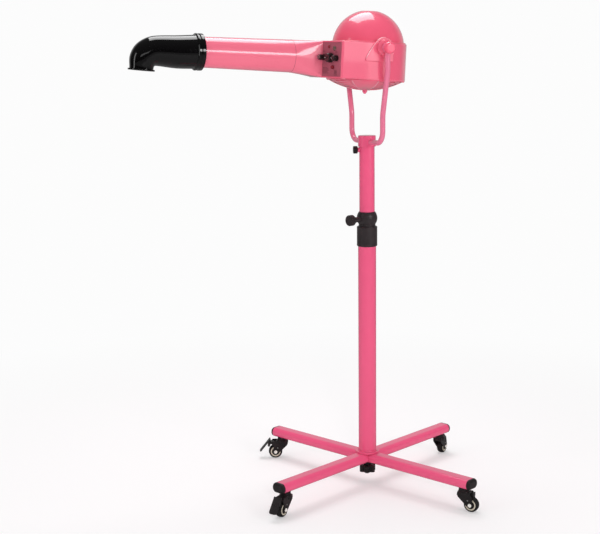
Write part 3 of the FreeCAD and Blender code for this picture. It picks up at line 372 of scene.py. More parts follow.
def castor_trim(name):
    """Dust rings under the crown, ribs and rivets on the fork's cheeks, ribs on a brake pedal."""
    swivel, spin = joint_pos("castor_%s_swivel" % name), joint_pos("wheel_%s_spin" % name)
    heading = Vector((spin.x - swivel.x, spin.y - swivel.y, 0)).normalized()
    place = frame_matrix(Vector((swivel.x, swivel.y, 0)), heading, UP)
    body = "castor_" + name
    bm = bmesh.new()
    for ring in DUST_RINGS:
        lathe(bm, bead_profile(*mm(*ring)), DUST_STEPS)
    for side in (-1, 1):
        for x, z, half_length in FORK_RIBS:
            at = at_point(x, side * RIB_Y, z)
            rounded_box(bm, at, mm(half_length, *RIB_SECTION), RIB_EDGE, EDGE_SEGMENTS)
    piece("fork_ribs_" + name, bm, "black_matte", body, place)

    bm = bmesh.new()
    for side in (-1, 1):
        x, y, z = RIVET_PLACE
        turn = at_point(x, side * y, z) @ turned(-90 * side, "X")
        rings = lathe(bm, millimetres(RIVET), RIVET_STEPS, closed=False)
        bmesh.ops.transform(bm, matrix=turn, verts=[v for ring in rings for v in ring])
    piece("fork_rivets_" + name, bm, "steel", body, place)

    if name in BRAKED:
        bm = bmesh.new()
        face = Vector((-PEDAL_ALONG.z, 0, PEDAL_ALONG.x))
        for i in range(PEDAL_RIBS):
            reach = PEDAL_FIRST_RIB + PEDAL_RIB_STEP * i
            at = (PEDAL_HINGE + PEDAL_ALONG * reach + face * PEDAL_RIB_PROUD) * MM
            turn = frame_matrix(at, PEDAL_ALONG, face)
            rounded_box(bm, turn, PEDAL_RIB_HALF, PEDAL_RIB_EDGE, EDGE_SEGMENTS, profile=0.0)
        pedal = "pedal_" + name
        piece("pedal_ribs_" + name, bm, "black_matte", pedal, place)


# ---- base and pole ------------------------------------------------------------------------------
# welds: sides of the section, and how much and how often it swells besides the ripples
WELD_SIDES, WELD_RIPPLE, WELD_WANDER, WELD_WAVES, WELD_SHIFT = 8, 0.10, 0.05, 7, 1.0
FOOT_WELD_STEPS, SLEEVE_WELD_STEPS = 168, 96
FOOT_WELD_OUT, FOOT_WELD_UP, FOOT_WELD_SIZE, FOOT_RIPPLES = *mm(0.5, 0.6, 1.5), 56
SLEEVE_WELD_R, SLEEVE_WELD_SIZE, SLEEVE_RIPPLES = *mm(6.7, 1.3), 22
COLLAR_LINE_R, COLLAR_LINE_SIZE, COLLAR_LINE_STEPS = *mm(25.15, 0.6), 72
COLLAR_LINE_HEIGHTS = mm(4.2, 45.6)


def weld(bm, radius, z, size, ripples, steps):
    """Weld bead whose section swells and shrinks round the joint."""
    rings = []
    for i in range(steps):
        a = 2 * math.pi * i / steps
        wander = WELD_WANDER * math.sin(WELD_WAVES * a + WELD_SHIFT)
        swell = size * (1 + WELD_RIPPLE * math.sin(ripples * a) + wander)
        rings.append([bm.verts.new(((radius + x) * math.cos(a), (radius + x) * math.sin(a), z + y))
                      for x, y in circle(swell, WELD_SIDES)])
    for low, high in zip(rings, rings[1:] + rings[:1]):
        for k in range(WELD_SIDES):
            after = (k + 1) % WELD_SIDES
            bm.faces.new((low[k], low[after], high[after], high[k]))


def base_trim():
    """Weld bead where the lower pole stands in its foot."""
    low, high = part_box("lower_pole")
    radius = (high.x - low.x) / 2
    bm = bmesh.new()
    weld(bm, radius + FOOT_WELD_OUT, low.z + FOOT_WELD_UP, FOOT_WELD_SIZE, FOOT_RIPPLES,
         FOOT_WELD_STEPS)
    piece("foot_weld", bm, "pink_pole", "base_frame", at_pole(0))


def sleeve_trim():
    """Weld beads where the yoke's rod passes through the sleeve."""
    low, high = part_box("yoke_sleeve")
    radius = (high.x - low.x) / 2
    for side, label in ((-1, "front"), (1, "rear")):
        bm = bmesh.new()
        weld(bm, SLEEVE_WELD_R, 0.0, SLEEVE_WELD_SIZE, SLEEVE_RIPPLES, SLEEVE_WELD_STEPS)
        for v in bm.verts:
            v.co.z -= radius - math.sqrt(max(0.0, radius ** 2 - v.co.y ** 2))
        at = Vector((POLE_AXIS.x, POLE_AXIS.y + side * radius, POLE_AXIS.z))
        place = frame_matrix(at, UP, side * Y_AXIS)
        piece("sleeve_weld_" + label, bm, "pink_pole", "yoke", place)


def collar_trim():
    """Two moulded lines round the height collar."""
    low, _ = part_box("height_collar")
    bm = bmesh.new()
    for height in COLLAR_LINE_HEIGHTS:
        lathe(bm, bead_profile(COLLAR_LINE_R, height, COLLAR_LINE_SIZE), COLLAR_LINE_STEPS)
    piece("collar_lines", bm, "collar_black", "base_frame", at_pole(low.z))


# ---- head's smooth shells, in millimetres in the head's frame -----------------------------------
SHELL_STEPS = 192
HOUSING_TOP, HOUSING_BOTTOM = 12.0, -75.0
DOME_X, DOME_CENTRE_Z, DOME_R, DOME_TOP, DOME_WALL, DOME_EDGE_R = 3.0, 3.0, 87.8, 88.3, 1.5, 2.5
DOME_PLACE = HEAD @ at_point(DOME_X, 0, 0)
DOME_INSIDE_STEPS, DOME_OUTSIDE_STEPS, DOME_EDGE_STEPS = 40, 72, 6
FLANGE_R, FLANGE_LOW, FLANGE_HIGH, FLANGE_EDGE = 91.5, 12.05, 13.65, 0.3
THROAT_X, THROAT_NEAR, THROAT_FAR, THROAT_CORNER = -125.1, -22.0, 54.0, 6.0
FLARE_WALL, FLARE_STATIONS, FLARE_SMOOTH = 1.4, 28, 50.0
DUCT_Y, DUCT_Z, SEAM_X, SEAM_GAP = 20.0, -27.0, -192.0, 0.15
TAPER_END_X, DUCT_END_X, DUCT_SEAM_R, DUCT_END_R, DUCT_WALL = -412.0, -428.0, 38.9, 35.7, 1.4
ELBOW_START_X, SOCKET_R, SOCKET_END_X, ELBOW_WALL = -415.0, 35.76, -431.0, 2.5
BEND_X, BEND_Z, BEND_INNER_R, BEND_STEPS = -524.5, -41.0, 5.0, 9
# the elbow before its bend: x, z, turn in degrees, radius
STRAIGHT_STATIONS = ((SOCKET_END_X, DUCT_Z, 0.0, 39.4), (-475.0, DUCT_Z - 2.0, 0.0, 38.0))
# the bend: turn in degrees, diameter
BEND_STATIONS = ((0.0, 69.0), (22.0, 66.5), (44.0, 64.5), (66.0, 60.5), (87.0, 55.5))
# the elbow's collar and its mouth's lip: radius, distance ahead
COLLAR = ((42.2, 0), (42.8, 0.4), (43.0, 1.2), (43.0, 8.2), (42.0, 9.6), (41.4, 10.4),
          (41.4, 12.6), (43.0, 13.2), (43.0, 16.0), (42.0, 17.2), (39.35, 18.4))
LIP = ((27.75, 4.5), (30.0, 4.5), (30.85, 4.85), (31.2, 5.7), (31.2, 7.3), (30.85, 8.15),
       (30.0, 8.5), (25.25, 8.5))


def arc_points(centre, radius, start, end, steps):
    """Points (radius, height) along an arc, its angles in degrees up from the horizontal."""
    points = []
    for i in range(steps + 1):
        a = math.radians(start + (end - start) * i / steps)
        points.append((centre[0] + radius * math.cos(a), centre[1] + radius * math.sin(a)))
    return points


def skin(bm, rings):
    """Closed tube through rings of points given in millimetres; the last ring joins the first."""
    loops = [[bm.verts.new(Vector(p) * MM) for p in ring] for ring in rings]
    for low, high in zip(loops, loops[1:] + loops[:1]):
        loop_faces(bm, low, high)


def dome_shell():
    """Spun dome: flange, long even curve, soft edge round its flat top, and the wall inside."""
    inside = DOME_R - DOME_WALL
    foot = math.degrees(math.asin((FLANGE_HIGH - DOME_CENTRE_Z) / DOME_R))
    edge_z = DOME_TOP - DOME_EDGE_R
    edge_x = math.sqrt((DOME_R - DOME_EDGE_R) ** 2 - (edge_z - DOME_CENTRE_Z) ** 2)
    crown = math.degrees(math.atan2(edge_z - DOME_CENTRE_Z, edge_x))
    inner_foot = math.degrees(math.asin((FLANGE_LOW - DOME_CENTRE_Z) / inside))
    inner_top = DOME_TOP - DOME_WALL
    inner_crown = math.degrees(math.asin((inner_top - DOME_CENTRE_Z) / inside))
    middle = (0, DOME_CENTRE_Z)
    profile = [(0, inner_top)]
    profile += arc_points(middle, inside, inner_crown, inner_foot, DOME_INSIDE_STEPS)
    profile += [(FLANGE_R - FLANGE_EDGE, FLANGE_LOW), (FLANGE_R, FLANGE_LOW + FLANGE_EDGE),
                (FLANGE_R, FLANGE_HIGH - FLANGE_EDGE), (FLANGE_R - FLANGE_EDGE, FLANGE_HIGH)]
    profile += arc_points(middle, DOME_R, foot, crown, DOME_OUTSIDE_STEPS)
    profile += arc_points((edge_x, edge_z), DOME_EDGE_R, crown, 90, DOME_EDGE_STEPS)[1:]
    profile.append((0, DOME_TOP))
    bm = bmesh.new()
    lathe(bm, millimetres(profile), SHELL_STEPS, closed=False)
    dome = piece("dome_shell", bm, "pink_dome", "head", DOME_PLACE)
    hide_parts("dome_cover")


def duct_shell():
    """Conical tube with a straight end that slips into the elbow."""
    start = SEAM_X - SEAM_GAP
    taper, end = start - TAPER_END_X, start - DUCT_END_X
    outside = [(DUCT_SEAM_R, 0), (DUCT_END_R, taper), (DUCT_END_R, end)]
    profile = outside + [(r - DUCT_WALL, z) for r, z in reversed(outside)]
    bm = bmesh.new()
    lathe(bm, millimetres(profile), SHELL_STEPS)
    place = frame_matrix(Vector((start, DUCT_Y, DUCT_Z)) * MM, UP, Vector((-1, 0, 0)))
    duct = piece("duct_shell", bm, "pink_duct", "head", HEAD @ place)
    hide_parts("duct_tube")


def flare_ring(blend, inset):
    """Section of the flare, from the throat's rounded square at 0 to the duct's circle at 1."""
    half = Vector((THROAT_FAR - THROAT_NEAR, HOUSING_TOP - HOUSING_BOTTOM)) / 2
    middle = Vector((THROAT_FAR + THROAT_NEAR, HOUSING_TOP + HOUSING_BOTTOM)) / 2
    half -= Vector((THROAT_CORNER, THROAT_CORNER))
    signs = ((1, 1), (-1, 1), (-1, -1), (1, -1))
    corners = [middle + Vector((half.x * across, half.y * up)) for across, up in signs]
    x = THROAT_X + (SEAM_X + SEAM_GAP - THROAT_X) * blend
    corner, radius, steps, points = THROAT_CORNER - inset, DUCT_SEAM_R - inset, SHELL_STEPS // 8, []
    for i in range(4):
        here, after = corners[i], corners[(i + 1) % 4]
        for k in range(2 * steps):
            t = k / steps
            a = math.radians(90 * i + 90 * min(t, 1))
            square = here.lerp(after, max(t, 1) - 1) + corner * Vector((math.cos(a), math.sin(a)))
            b = math.radians(90 * i + 22.5 + 45 * t)
            circular = Vector((DUCT_Y + radius * math.cos(b), DUCT_Z + radius * math.sin(b)))
            spot = square.lerp(circular, blend)
            points.append((x, spot.x, spot.y))
    return points


def flare_shell():
    """Sheet flare between the blower's square throat and the round duct."""
    along = [i / FLARE_STATIONS for i in range(FLARE_STATIONS + 1)]
    outside = [flare_ring(t, 0) for t in along]
    inside = [flare_ring(t, FLARE_WALL) for t in reversed(along)]
    bm = bmesh.new()
    skin(bm, outside + inside)
    flare = piece("flare_shell", bm, "pink_duct", "head", HEAD, FLARE_SMOOTH)
    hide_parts("outlet_transition")


def bend_path():
    """Elbow's path, smoothed through its stations: x, z, turn and radius at each point."""
    values = [Vector(station) for station in STRAIGHT_STATIONS]
    for angle, size in BEND_STATIONS:
        a, arm = math.radians(angle), BEND_INNER_R + size / 2
        x, z = BEND_X - arm * math.sin(a), DUCT_Z + BEND_Z + arm * math.cos(a)
        values.append(Vector((x, z, angle, size / 2)))
    lengths = [0.0]
    for low, high in zip(values, values[1:]):
        lengths.append(lengths[-1] + (Vector(high[:2]) - Vector(low[:2])).length)
    slopes = []
    for i in range(len(values)):
        low, high = max(0, i - 1), min(len(values) - 1, i + 1)
        slopes.append((values[high] - values[low]) / (lengths[high] - lengths[low]))
    path = []
    for i in range(len(values) - 1):
        span = lengths[i + 1] - lengths[i]
        for k in range(BEND_STEPS):
            t = k / BEND_STEPS
            path.append(values[i] * (2 * t ** 3 - 3 * t ** 2 + 1)
                        + slopes[i] * span * (t ** 3 - 2 * t ** 2 + t)
                        + values[i + 1] * (3 * t ** 2 - 2 * t ** 3)
                        + slopes[i + 1] * span * (t ** 3 - t ** 2))
    return path + [values[-1]]


def elbow_ring(x, z, angle, radius, ahead=0.0):
    """Circle across the elbow's path at a point, moved ahead along it."""
    a = math.radians(angle)
    out = Vector((-math.cos(a), 0, -math.sin(a)))
    across, middle = out.cross(Y_AXIS), Vector((x, DUCT_Y, z)) + out * ahead
    return [middle + u * Y_AXIS + v * across for u, v in circle(radius, SHELL_STEPS // 2)]


def elbow_shell():
    """Moulded elbow in one skin: stepped collar, long bend, lipped mouth, bore and socket."""
    path = bend_path()
    mouth_x, mouth_z, mouth_angle, _ = path[-1]
    rings = [elbow_ring(ELBOW_START_X - ahead, DUCT_Z, 0, r) for r, ahead in COLLAR]
    rings += [elbow_ring(*spot) for spot in path[1:]]
    rings += [elbow_ring(mouth_x, mouth_z, mouth_angle, r, ahead) for r, ahead in LIP]
    rings += [elbow_ring(x, z, angle, r - ELBOW_WALL) for x, z, angle, r in reversed(path)]
    rings += [elbow_ring(x, DUCT_Z, 0, SOCKET_R) for x in (SOCKET_END_X, ELBOW_START_X)]
    bm = bmesh.new()
    skin(bm, rings)
    elbow = piece("elbow_shell", bm, "black_gloss", "elbow", HEAD)
    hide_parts("elbow_nozzle")


# ---- head's trim, in millimetres in the head's frame --------------------------------------------
DOME_BEAD_INSET, DOME_BEAD_SIZE, DOME_BEAD_SIDES, LONG_BEAD_STEPS = 1.6, 1.25, 12, 128
HOUSING_R, PAD_R, PAD_T, PAD_FLANK_ANGLE, PAD_BULGE = 96.5, 25.0, 2.6, 130.0, 2.6
PAD_TAIL, PAD_GAP = Vector((-50.0, -33.0)), 0.05
# a fairing's edge bead: size, depth below the plate's face, inset from its outline, first share
FLANK_BEAD, FLANK_SINK, FLANK_INSET, FLANK_START = 1.0, 0.9, 0.6, 0.10
FLANK_STEPS, CREST_STEPS, CREST_ANGLE = 32, 8, 6
GRILLE_SPHERE_R, GRILLE_SPHERE_Z = 194.8, 94.7
ARM_HALF_ANGLE, ARM_START, ARM_RAISE, ARM_HUB_HALF, ARM_FLARE = 19.0, 245.0, 1.8, 4.0, 0.965
ARM_REACH, ARM_STEPS, ARM_BEAD, ARM_SINK, ARM_INSET = (14.0, 88.0), 24, 0.8, 0.3, 0.7
SLIT_START, SLIT_END = Vector((-132.0, -21.6, -63.0)), Vector((-136.6, -15.5, -72.0))
SLIT_NORMAL = Vector((-0.31, -0.71, -0.63)).normalized()
SLIT_PROUD, SLIT_BEAD, SLIT_STEPS = 0.15, 0.8, 10
SEAM_SINK, SEAM_SIZE = 0.1, 0.4
# a direction that no bead runs along, and the least square of a bead's share at its ends
BEAD_GUIDE, BEAD_LEAST = Vector((0.3, 0.5, 0.8)), 0.05


def dome_trim():
    """Rolled bead round the dome's foot."""
    bead = mm(FLANGE_R - DOME_BEAD_INSET, FLANGE_HIGH, DOME_BEAD_SIZE)
    bm = bmesh.new()
    lathe(bm, bead_profile(*bead, DOME_BEAD_SIDES), LONG_BEAD_STEPS)
    piece("dome_bead", bm, "pink_dome", "head", DOME_PLACE)


def wire_bead(bm, points, radius, sides=8):
    """Round bead along points given in millimetres, drawn in towards its closed ends."""
    rings, last = [], len(points) - 1
    for i, at in enumerate(points):
        ahead = (points[min(i + 1, last)] - points[max(i - 1, 0)]).normalized()
        across = ahead.cross(BEAD_GUIDE).normalized()
        over = ahead.cross(across)
        size = radius * math.sqrt(max(BEAD_LEAST, 1 - (2 * i / last - 1) ** 8))
        rings.append([bm.verts.new((at + u * across + v * over) * MM)
                      for u, v in circle(size, sides)])
    for low, high in zip(rings, rings[1:]):
        loop_faces(bm, low, high)
    bm.faces.new(rings[0])
    bm.faces.new(list(reversed(rings[-1])))


def fairing_edges():
    """Bead on each fairing plate's bulging flank, in pale enamel that paints a highlight along the edge."""
    a = math.radians(PAD_FLANK_ANGLE)
    top = Vector((PAD_R * math.cos(a), PAD_R * math.sin(a)))
    chord = top - PAD_TAIL
    outwards = Vector((-chord.y, chord.x)).normalized()
    for side, label in ((-1, "front"), (1, "rear")):
        y = side * (HOUSING_R + PAD_GAP + PAD_T - FLANK_SINK)
        points = []
        for i in range(FLANK_STEPS + 1):
            t = FLANK_START + (1 - FLANK_START) * i / FLANK_STEPS
            bulge = 4 * PAD_BULGE * t * (1 - t)
            flank = PAD_TAIL.lerp(top, t) + outwards * (bulge - FLANK_INSET)
            points.append(Vector((flank.x, y, flank.y)))
        for i in range(1, CREST_STEPS + 1):
            b, r = a - math.radians(CREST_ANGLE * i), PAD_R - FLANK_INSET
            points.append(Vector((r * math.cos(b), y, r * math.sin(b))))
        bm = bmesh.new()
        wire_bead(bm, points, FLANK_BEAD)
        piece("fairing_edge_" + label, bm, "painted_highlight", "head", HEAD)


def grille_edges():
    """Beads along both edges of the grille's three wide arms, in pale enamel that paints highlights along them."""
    start, end = ARM_REACH
    slope = math.tan(math.radians(ARM_HALF_ANGLE)) * ARM_FLARE
    surface = GRILLE_SPHERE_R + ARM_RAISE - ARM_SINK
    bm = bmesh.new()
    for i in range(3):
        turn = math.radians(ARM_START + 120 * i)
        for side in (-1, 1):
            points = []
            for k in range(ARM_STEPS + 1):
                along = start + (end - start) * k / ARM_STEPS
                across = side * (ARM_HUB_HALF + along * slope - ARM_INSET)
                x = along * math.cos(turn) - across * math.sin(turn)
                y = along * math.sin(turn) + across * math.cos(turn)
                z = GRILLE_SPHERE_Z - math.sqrt(surface ** 2 - x * x - y * y)
                points.append(Vector((x, y, z)))
            wire_bead(bm, points, ARM_BEAD)
    piece("grille_arm_edges", bm, "painted_highlight", "head", HEAD)


def flare_slit():
    """Small dark relief slot on the flare's lower edge, beside the panel."""
    points = [SLIT_START.lerp(SLIT_END, i / SLIT_STEPS) + SLIT_NORMAL * SLIT_PROUD
              for i in range(SLIT_STEPS + 1)]
    bm = bmesh.new()
    wire_bead(bm, points, SLIT_BEAD)
    piece("flare_slit", bm, "seam_dark", "head", HEAD)


def duct_seam():
    """Fine dark joint line where the duct leaves the flare."""
    along = frame_matrix(joint_pos("elbow_turn"), Y_AXIS, joint_axis("elbow_turn"))
    seam = along.inverted() @ (HEAD @ Vector((SEAM_X * MM, 0, 0)))
    bm = bmesh.new()
    radius, size = mm(DUCT_SEAM_R - SEAM_SINK, SEAM_SIZE)
    lathe(bm, bead_profile(radius, seam.z, size), LONG_BEAD_STEPS)
    piece("duct_seam", bm, "seam_dark", "head", along)


# ---- panel, in its own frame: x up, y along, z out ----------------------------------------------
PANEL = frame_matrix(joint_pos("heat_knob_turn"), UP, joint_axis("heat_knob_turn"))
# the film's face under the joints' origins, and the print's half thickness in millimetres
PANEL_FACE, PRINT_HALF = (1.25 - 6.0) * MM + 0.02 * MM, 0.06
DIAL_START, DIAL_SWEEP = -140, 280
# joint: radius of the ring of ticks in millimetres, and how many
DIALS = {"timer_knob_turn": (9.8, 11), "heat_knob_turn": (14.4, 13), "fan_knob_turn": (9.8, 7)}
TICK_LONG, TICK_SHORT, TICK_WIDTH = 1.3, 0.8, 0.42
# rows of captions, as wide as these, and the bars under and beside the knobs: middle, half sizes
CAPTIONS = (24.0, 19.0, 26.0, 22.0, 17.0)
CAPTION_LOW, CAPTION_STEP, CAPTION_START = -35.5, 3.1, 30.5
CAPTION_HEIGHT, CAPTION_FILL = 0.62, 0.40
RATING_BARS = [((-34.0, -15.5 - 2.1 * i), (5.2 - 0.8 * (i % 2), 0.45)) for i in range(5)]
RATING_BARS.append(((-40.4, -20.0), (0.4, 6.5)))
KNOB_BAR_AT, KNOB_BAR_HALF = (14.5, 1.5), (0.7, 4.2)
# knob: its name, the radius of its cap in millimetres, and the material of the cap's disc
KNOBS = (("timer_knob", 7.5, "knob_black"), ("heat_knob", 12.0, "knob_black"),
         ("fan_knob", 7.5, "steel"))
CAP_DEPTH = 0.8
# section of the cap's disc: share of the radius, and height over the cap
CAP_DISC = ((0.30, 0.05), (0.34, 0.30), (0.46, 0.42), (0.50, 0.10), (0.50, -0.2))
CAP_CORE, CAP_STEPS = 0.05, 40
# pointer line: middle and half length as shares of the radius, half width, rise, half thickness
LINE_AT, LINE_HALF, LINE_WIDTH, LINE_RISE, LINE_THICK = 0.52, 0.22, 0.45, 0.04, 0.10
LINE_EDGE = 0.05 * MM


def panel_spot(knob):
    """A control's place on the panel, in the panel's frame."""
    return PANEL.inverted() @ joint_pos(knob)


def bar(bm, at, half):
    """Thin raised bar of print on the panel's film, by its middle and half sizes in millimetres."""
    place = Matrix.Translation((at[0] * MM, at[1] * MM, PANEL_FACE))
    flat_box(bm, place, mm(*half, PRINT_HALF))


def panel_marks():
    """Dial ticks round the knobs, and plain bars where the film has captions."""
    ticks, bars = bmesh.new(), bmesh.new()
    for knob, (radius, count) in DIALS.items():
        at = panel_spot(knob)
        for i in range(count):
            a = math.radians(DIAL_START + DIAL_SWEEP * i / (count - 1))
            x, y = at.x + radius * MM * math.cos(a), at.y + radius * MM * math.sin(a)
            turn = Matrix.Translation((x, y, PANEL_FACE)) @ Matrix.Rotation(a, 4, "Z")
            length = TICK_SHORT if i % 2 else TICK_LONG
            flat_box(ticks, turn, mm(length, TICK_WIDTH, PRINT_HALF))
    piece("panel_ticks", ticks, "print_dark", "head", PANEL)
    for row, width in enumerate(CAPTIONS):
        words = 3 + row % 2
        share = width / words
        for word in range(words):
            spot = (CAPTION_LOW + row * CAPTION_STEP, CAPTION_START - share * (word + 0.5))
            bar(bars, spot, (CAPTION_HEIGHT, share * CAPTION_FILL))
    for at, half in RATING_BARS:
        bar(bars, at, half)
    for knob in ("timer_knob_turn", "fan_knob_turn"):
        at = panel_spot(knob) / MM
        bar(bars, (at.x + KNOB_BAR_AT[0], at.y + KNOB_BAR_AT[1]), KNOB_BAR_HALF)
    piece("panel_captions", bars, "print_dark", "head", PANEL)


def knob_marks():
    """Turned disc and pale pointer line on each knob's cap, each riding with its knob."""
    for name, radius, disc_mat in KNOBS:
        joint, node = name + "_turn", NODES[name]
        place = frame_matrix(joint_pos(joint), UP, joint_axis(joint))
        local = place.inverted()
        top = max((local @ node.matrix_world @ v.co).z for v in node.data.vertices) / MM
        cap, (_, foot) = top - CAP_DEPTH, CAP_DISC[-1]
        profile = [(CAP_CORE, cap + CAP_CORE)]
        profile += [(radius * share, cap + rise) for share, rise in CAP_DISC]
        profile.append((CAP_CORE, cap + foot))
        disc, line = bmesh.new(), bmesh.new()
        lathe(disc, millimetres(profile), CAP_STEPS)
        half = mm(LINE_WIDTH, radius * LINE_HALF, LINE_THICK)
        rounded_box(line, at_point(0, radius * LINE_AT, top + LINE_RISE), half, LINE_EDGE, 1)
        piece(name + "_disc", disc, disc_mat, name, place)
        piece(name + "_line", line, "print_light", name, place)


# ---- stage, lights and camera -------------------------------------------------------------------
WHITE = 0.975
FLOOR_R, FLOOR_STEPS, FLOOR_DROP, FLOOR_FADE, FLOOR_GLOW = 9.0, 96, 0.0002, (0.50, 1.9), 0.30
FLOOR_COLOUR, FLOOR_ROUGH, FLOOR_SPECULAR = (0.955, 0.93, 0.94), 0.8, 0.2
FLOOR_MIRRORED, FLOOR_LIT = 0.30, 1.0
# the room's brightness from straight down at 0 to straight up at 1, as gloss and as light sees it
ROOM_MIRRORED = ((0.0, 0.03), (0.49, 0.035), (0.56, 0.045), (1.0, 0.12))
BACKDROP_MIRRORED = ((0.0, 0.25), (0.47, 0.50), (0.70, 0.50), (0.85, 0.12))
ROOM_LIT = ((0.0, 1.00), (0.45, 0.61), (0.60, 0.59), (1.0, 0.60))
BACKDROP_EDGE = (0.30, 0.80)
CAMERA_AZIMUTH, CAMERA_PITCH, CAMERA_ROLL, CAMERA_LENS = -21.968, 9.763, 0.64, 75.2
CAMERA_SENSOR, CAMERA_CLIP, CAMERA_FROM_POLE = 36.0, (0.05, 60.0), (-0.1668, -3.10, 1.099)
VIEW_AZIMUTH = -22.0
# name: place, aim, width, height, radiance
LIGHTS = {
    "overhead": ((-0.31, 0.75, 2.75), (-0.25, 0.45, 0.0), 1.25, 1.5, 5.0),
    "window": ((1.82, -2.28, 1.62), (-0.29, 0.10, 1.1), 0.78, 0.66, 9.5),
    "window_sill": ((1.82, -2.28, 1.15), (-0.29, 0.10, 1.1), 0.78, 0.20, 1.6),
    "window_side": ((2.42, -2.05, 1.05), (-0.05, 0.0, 1.1), 0.45, 1.1, 1.6),
    "front_fill": ((-0.3, -3.7, 1.9), (-0.1, 0.0, 0.9), 2.6, 0.5, 1.2),
    "key": ((0.15, -3.5, 1.40), (0.0, 0.0, 0.95), 0.36, 0.36, 55.0),
    "left_panel": ((-2.6, -1.1, 1.5), (0.0, 0.0, 0.9), 0.45, 1.6, 2.5),
}


def from_view(point):
    """Point given from the pole's foot, with x to the right and y away in the main view."""
    return turned(VIEW_AZIMUTH, "Z") @ Vector(point) + Vector((POLE_AXIS.x, POLE_AXIS.y, 0))


def mixed(tree, factor, first, second):
    """Shader that goes from the first to the second as the factor goes from 0 to 1."""
    mix = tree.nodes.new("ShaderNodeMixShader")
    tree.links.new(factor, mix.inputs["Fac"])
    tree.links.new(first, mix.inputs[1])
    tree.links.new(second, mix.inputs[2])
    return mix.outputs["Shader"]


def by_ray(tree, seen, mirrored, lit):
    """Shows one shader to the lens, one to gloss and one to diffuse light."""
    path = tree.nodes.new("ShaderNodeLightPath")
    out = mixed(tree, path.outputs["Is Glossy Ray"], lit, mirrored)
    return mixed(tree, path.outputs["Is Camera Ray"], out, seen)


def smooth_step(tree, value, start, end):
    """Value smoothed from 0 at the start to 1 at the end; returns the node."""
    node = tree.nodes.new("ShaderNodeMapRange")
    node.interpolation_type = "SMOOTHSTEP"
    node.inputs["From Min"].default_value, node.inputs["From Max"].default_value = start, end
    tree.links.new(value, node.inputs["Value"])
    return node


def make_stage():
    """White floor that fades into the room away from the object."""
    bm = bmesh.new()
    bmesh.ops.create_circle(bm, cap_ends=True, radius=FLOOR_R, segments=FLOOR_STEPS)
    mesh = bpy.data.meshes.new("floor")
    bm.to_mesh(mesh)
    bm.free()
    floor = bpy.data.objects.new("floor", mesh)
    floor.location = (0, 0, -FLOOR_DROP)
    bpy.context.scene.collection.objects.link(floor)
    m = bpy.data.materials.new("floor_paper")
    m.use_nodes = True
    tree = m.node_tree
    shader = tree.nodes["Principled BSDF"]
    shader.inputs["Roughness"].default_value = FLOOR_ROUGH
    shader.inputs["Base Color"].default_value = (*FLOOR_COLOUR, 1)
    shader.inputs["Specular IOR Level"].default_value = FLOOR_SPECULAR
    glow = tree.nodes.new("ShaderNodeEmission")
    glow.inputs["Color"].default_value = (WHITE, WHITE, WHITE, 1)
    coords = tree.nodes.new("ShaderNodeTexCoord")
    reach = tree.nodes.new("ShaderNodeVectorMath")
    reach.operation = "LENGTH"
    tree.links.new(coords.outputs["Object"], reach.inputs[0])
    fade = smooth_step(tree, reach.outputs["Value"], *FLOOR_FADE)
    fade.inputs["To Min"].default_value = FLOOR_GLOW
    seen = mixed(tree, fade.outputs["Result"], shader.outputs["BSDF"], glow.outputs["Emission"])
    greys = []
    for level in FLOOR_MIRRORED, FLOOR_LIT:
        grey = tree.nodes.new("ShaderNodeBsdfDiffuse")
        grey.inputs["Color"].default_value = (level, level, level, 1)
        greys.append(grey.outputs["BSDF"])
    out = by_ray(tree, seen, *greys)
    tree.links.new(out, tree.nodes["Material Output"].inputs["Surface"])
    mesh.materials.append(m)


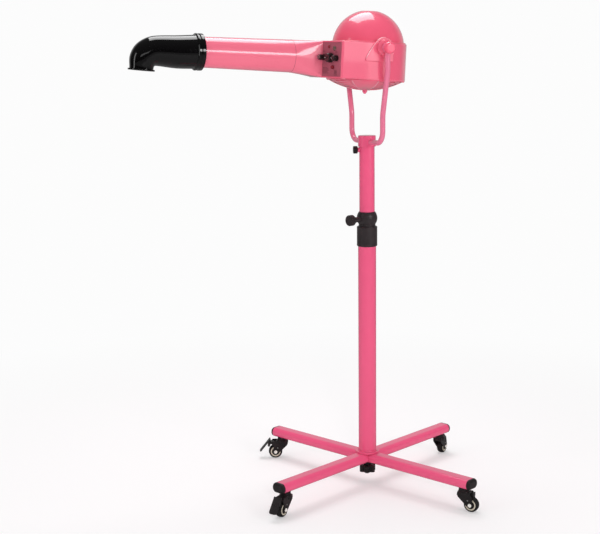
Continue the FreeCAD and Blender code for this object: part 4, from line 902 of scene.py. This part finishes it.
def make_room():
    """World: white to the lens, a soft room to light, and a dark one with a backdrop to gloss."""
    world = bpy.data.worlds.new("studio")
    world.use_nodes = True
    tree = world.node_tree
    seen = tree.nodes["Background"]
    seen.inputs["Color"].default_value = (WHITE, WHITE, WHITE, 1)
    coords = tree.nodes.new("ShaderNodeTexCoord")
    split = tree.nodes.new("ShaderNodeSeparateXYZ")
    height = tree.nodes.new("ShaderNodeMapRange")
    height.inputs["From Min"].default_value = -1.0
    tree.links.new(coords.outputs["Generated"], split.inputs["Vector"])
    tree.links.new(split.outputs["Z"], height.inputs["Value"])
    levels = []
    for stops in ROOM_MIRRORED, BACKDROP_MIRRORED, ROOM_LIT:
        glow = tree.nodes.new("ShaderNodeBackground")
        ramp = tree.nodes.new("ShaderNodeValToRGB")
        while len(ramp.color_ramp.elements) < len(stops):
            ramp.color_ramp.elements.new(0.5)
        for element, (at, level) in zip(ramp.color_ramp.elements, stops):
            element.position, element.color = at, (level, level, level, 1)
        tree.links.new(height.outputs["Result"], ramp.inputs["Fac"])
        tree.links.new(ramp.outputs["Color"], glow.inputs["Color"])
        levels.append(glow.outputs["Background"])
    room, backdrop, lit = levels
    towards = tree.nodes.new("ShaderNodeVectorMath")
    towards.operation = "DOT_PRODUCT"
    towards.inputs[1].default_value = from_view((0, 1, 0)) - from_view((0, 0, 0))
    tree.links.new(coords.outputs["Generated"], towards.inputs[0])
    behind = smooth_step(tree, towards.outputs["Value"], *BACKDROP_EDGE)
    mirrored = mixed(tree, behind.outputs["Result"], room, backdrop)
    out = by_ray(tree, seen.outputs["Background"], mirrored, lit)
    tree.links.new(out, tree.nodes["World Output"].inputs["Surface"])
    bpy.context.scene.world = world
    bpy.context.scene.view_settings.view_transform = "Standard"


def make_camera():
    data = bpy.data.cameras.new("camera")
    data.lens, data.sensor_width = CAMERA_LENS, CAMERA_SENSOR
    data.clip_start, data.clip_end = CAMERA_CLIP
    cam = bpy.data.objects.new("camera", data)
    bpy.context.scene.collection.objects.link(cam)
    place = Matrix.Translation(from_view(CAMERA_FROM_POLE))
    tip = turned(CAMERA_AZIMUTH, "Z") @ turned(90 - CAMERA_PITCH, "X")
    cam.matrix_world = place @ tip @ turned(-CAMERA_ROLL, "Z")
    bpy.context.scene.camera = cam


def make_lights():
    """Area lamps of the table; the key only lights, so it shows in no highlight."""
    for name, (at, aim, width, height, radiance) in LIGHTS.items():
        data = bpy.data.lights.new(name, "AREA")
        data.shape, data.size, data.size_y = "RECTANGLE", width, height
        data.energy = radiance * math.pi * width * height
        lamp = bpy.data.objects.new(name, data)
        bpy.context.scene.collection.objects.link(lamp)
        lamp.location = from_view(at)
        lamp.visible_glossy = name != "key"
        towards = from_view(aim) - from_view(at)
        lamp.rotation_euler = towards.to_track_quat("-Z", "Y").to_euler()


make_camera()
make_stage()
make_room()
make_lights()
dress_cad_nodes()
for castor in CASTORS:
    castor_wheel(castor)
    castor_trim(castor)
base_trim()
sleeve_trim()
collar_trim()
dome_shell()
duct_shell()
flare_shell()
elbow_shell()
dome_trim()
fairing_edges()
grille_edges()
flare_slit()
panel_marks()
knob_marks()
duct_seam()
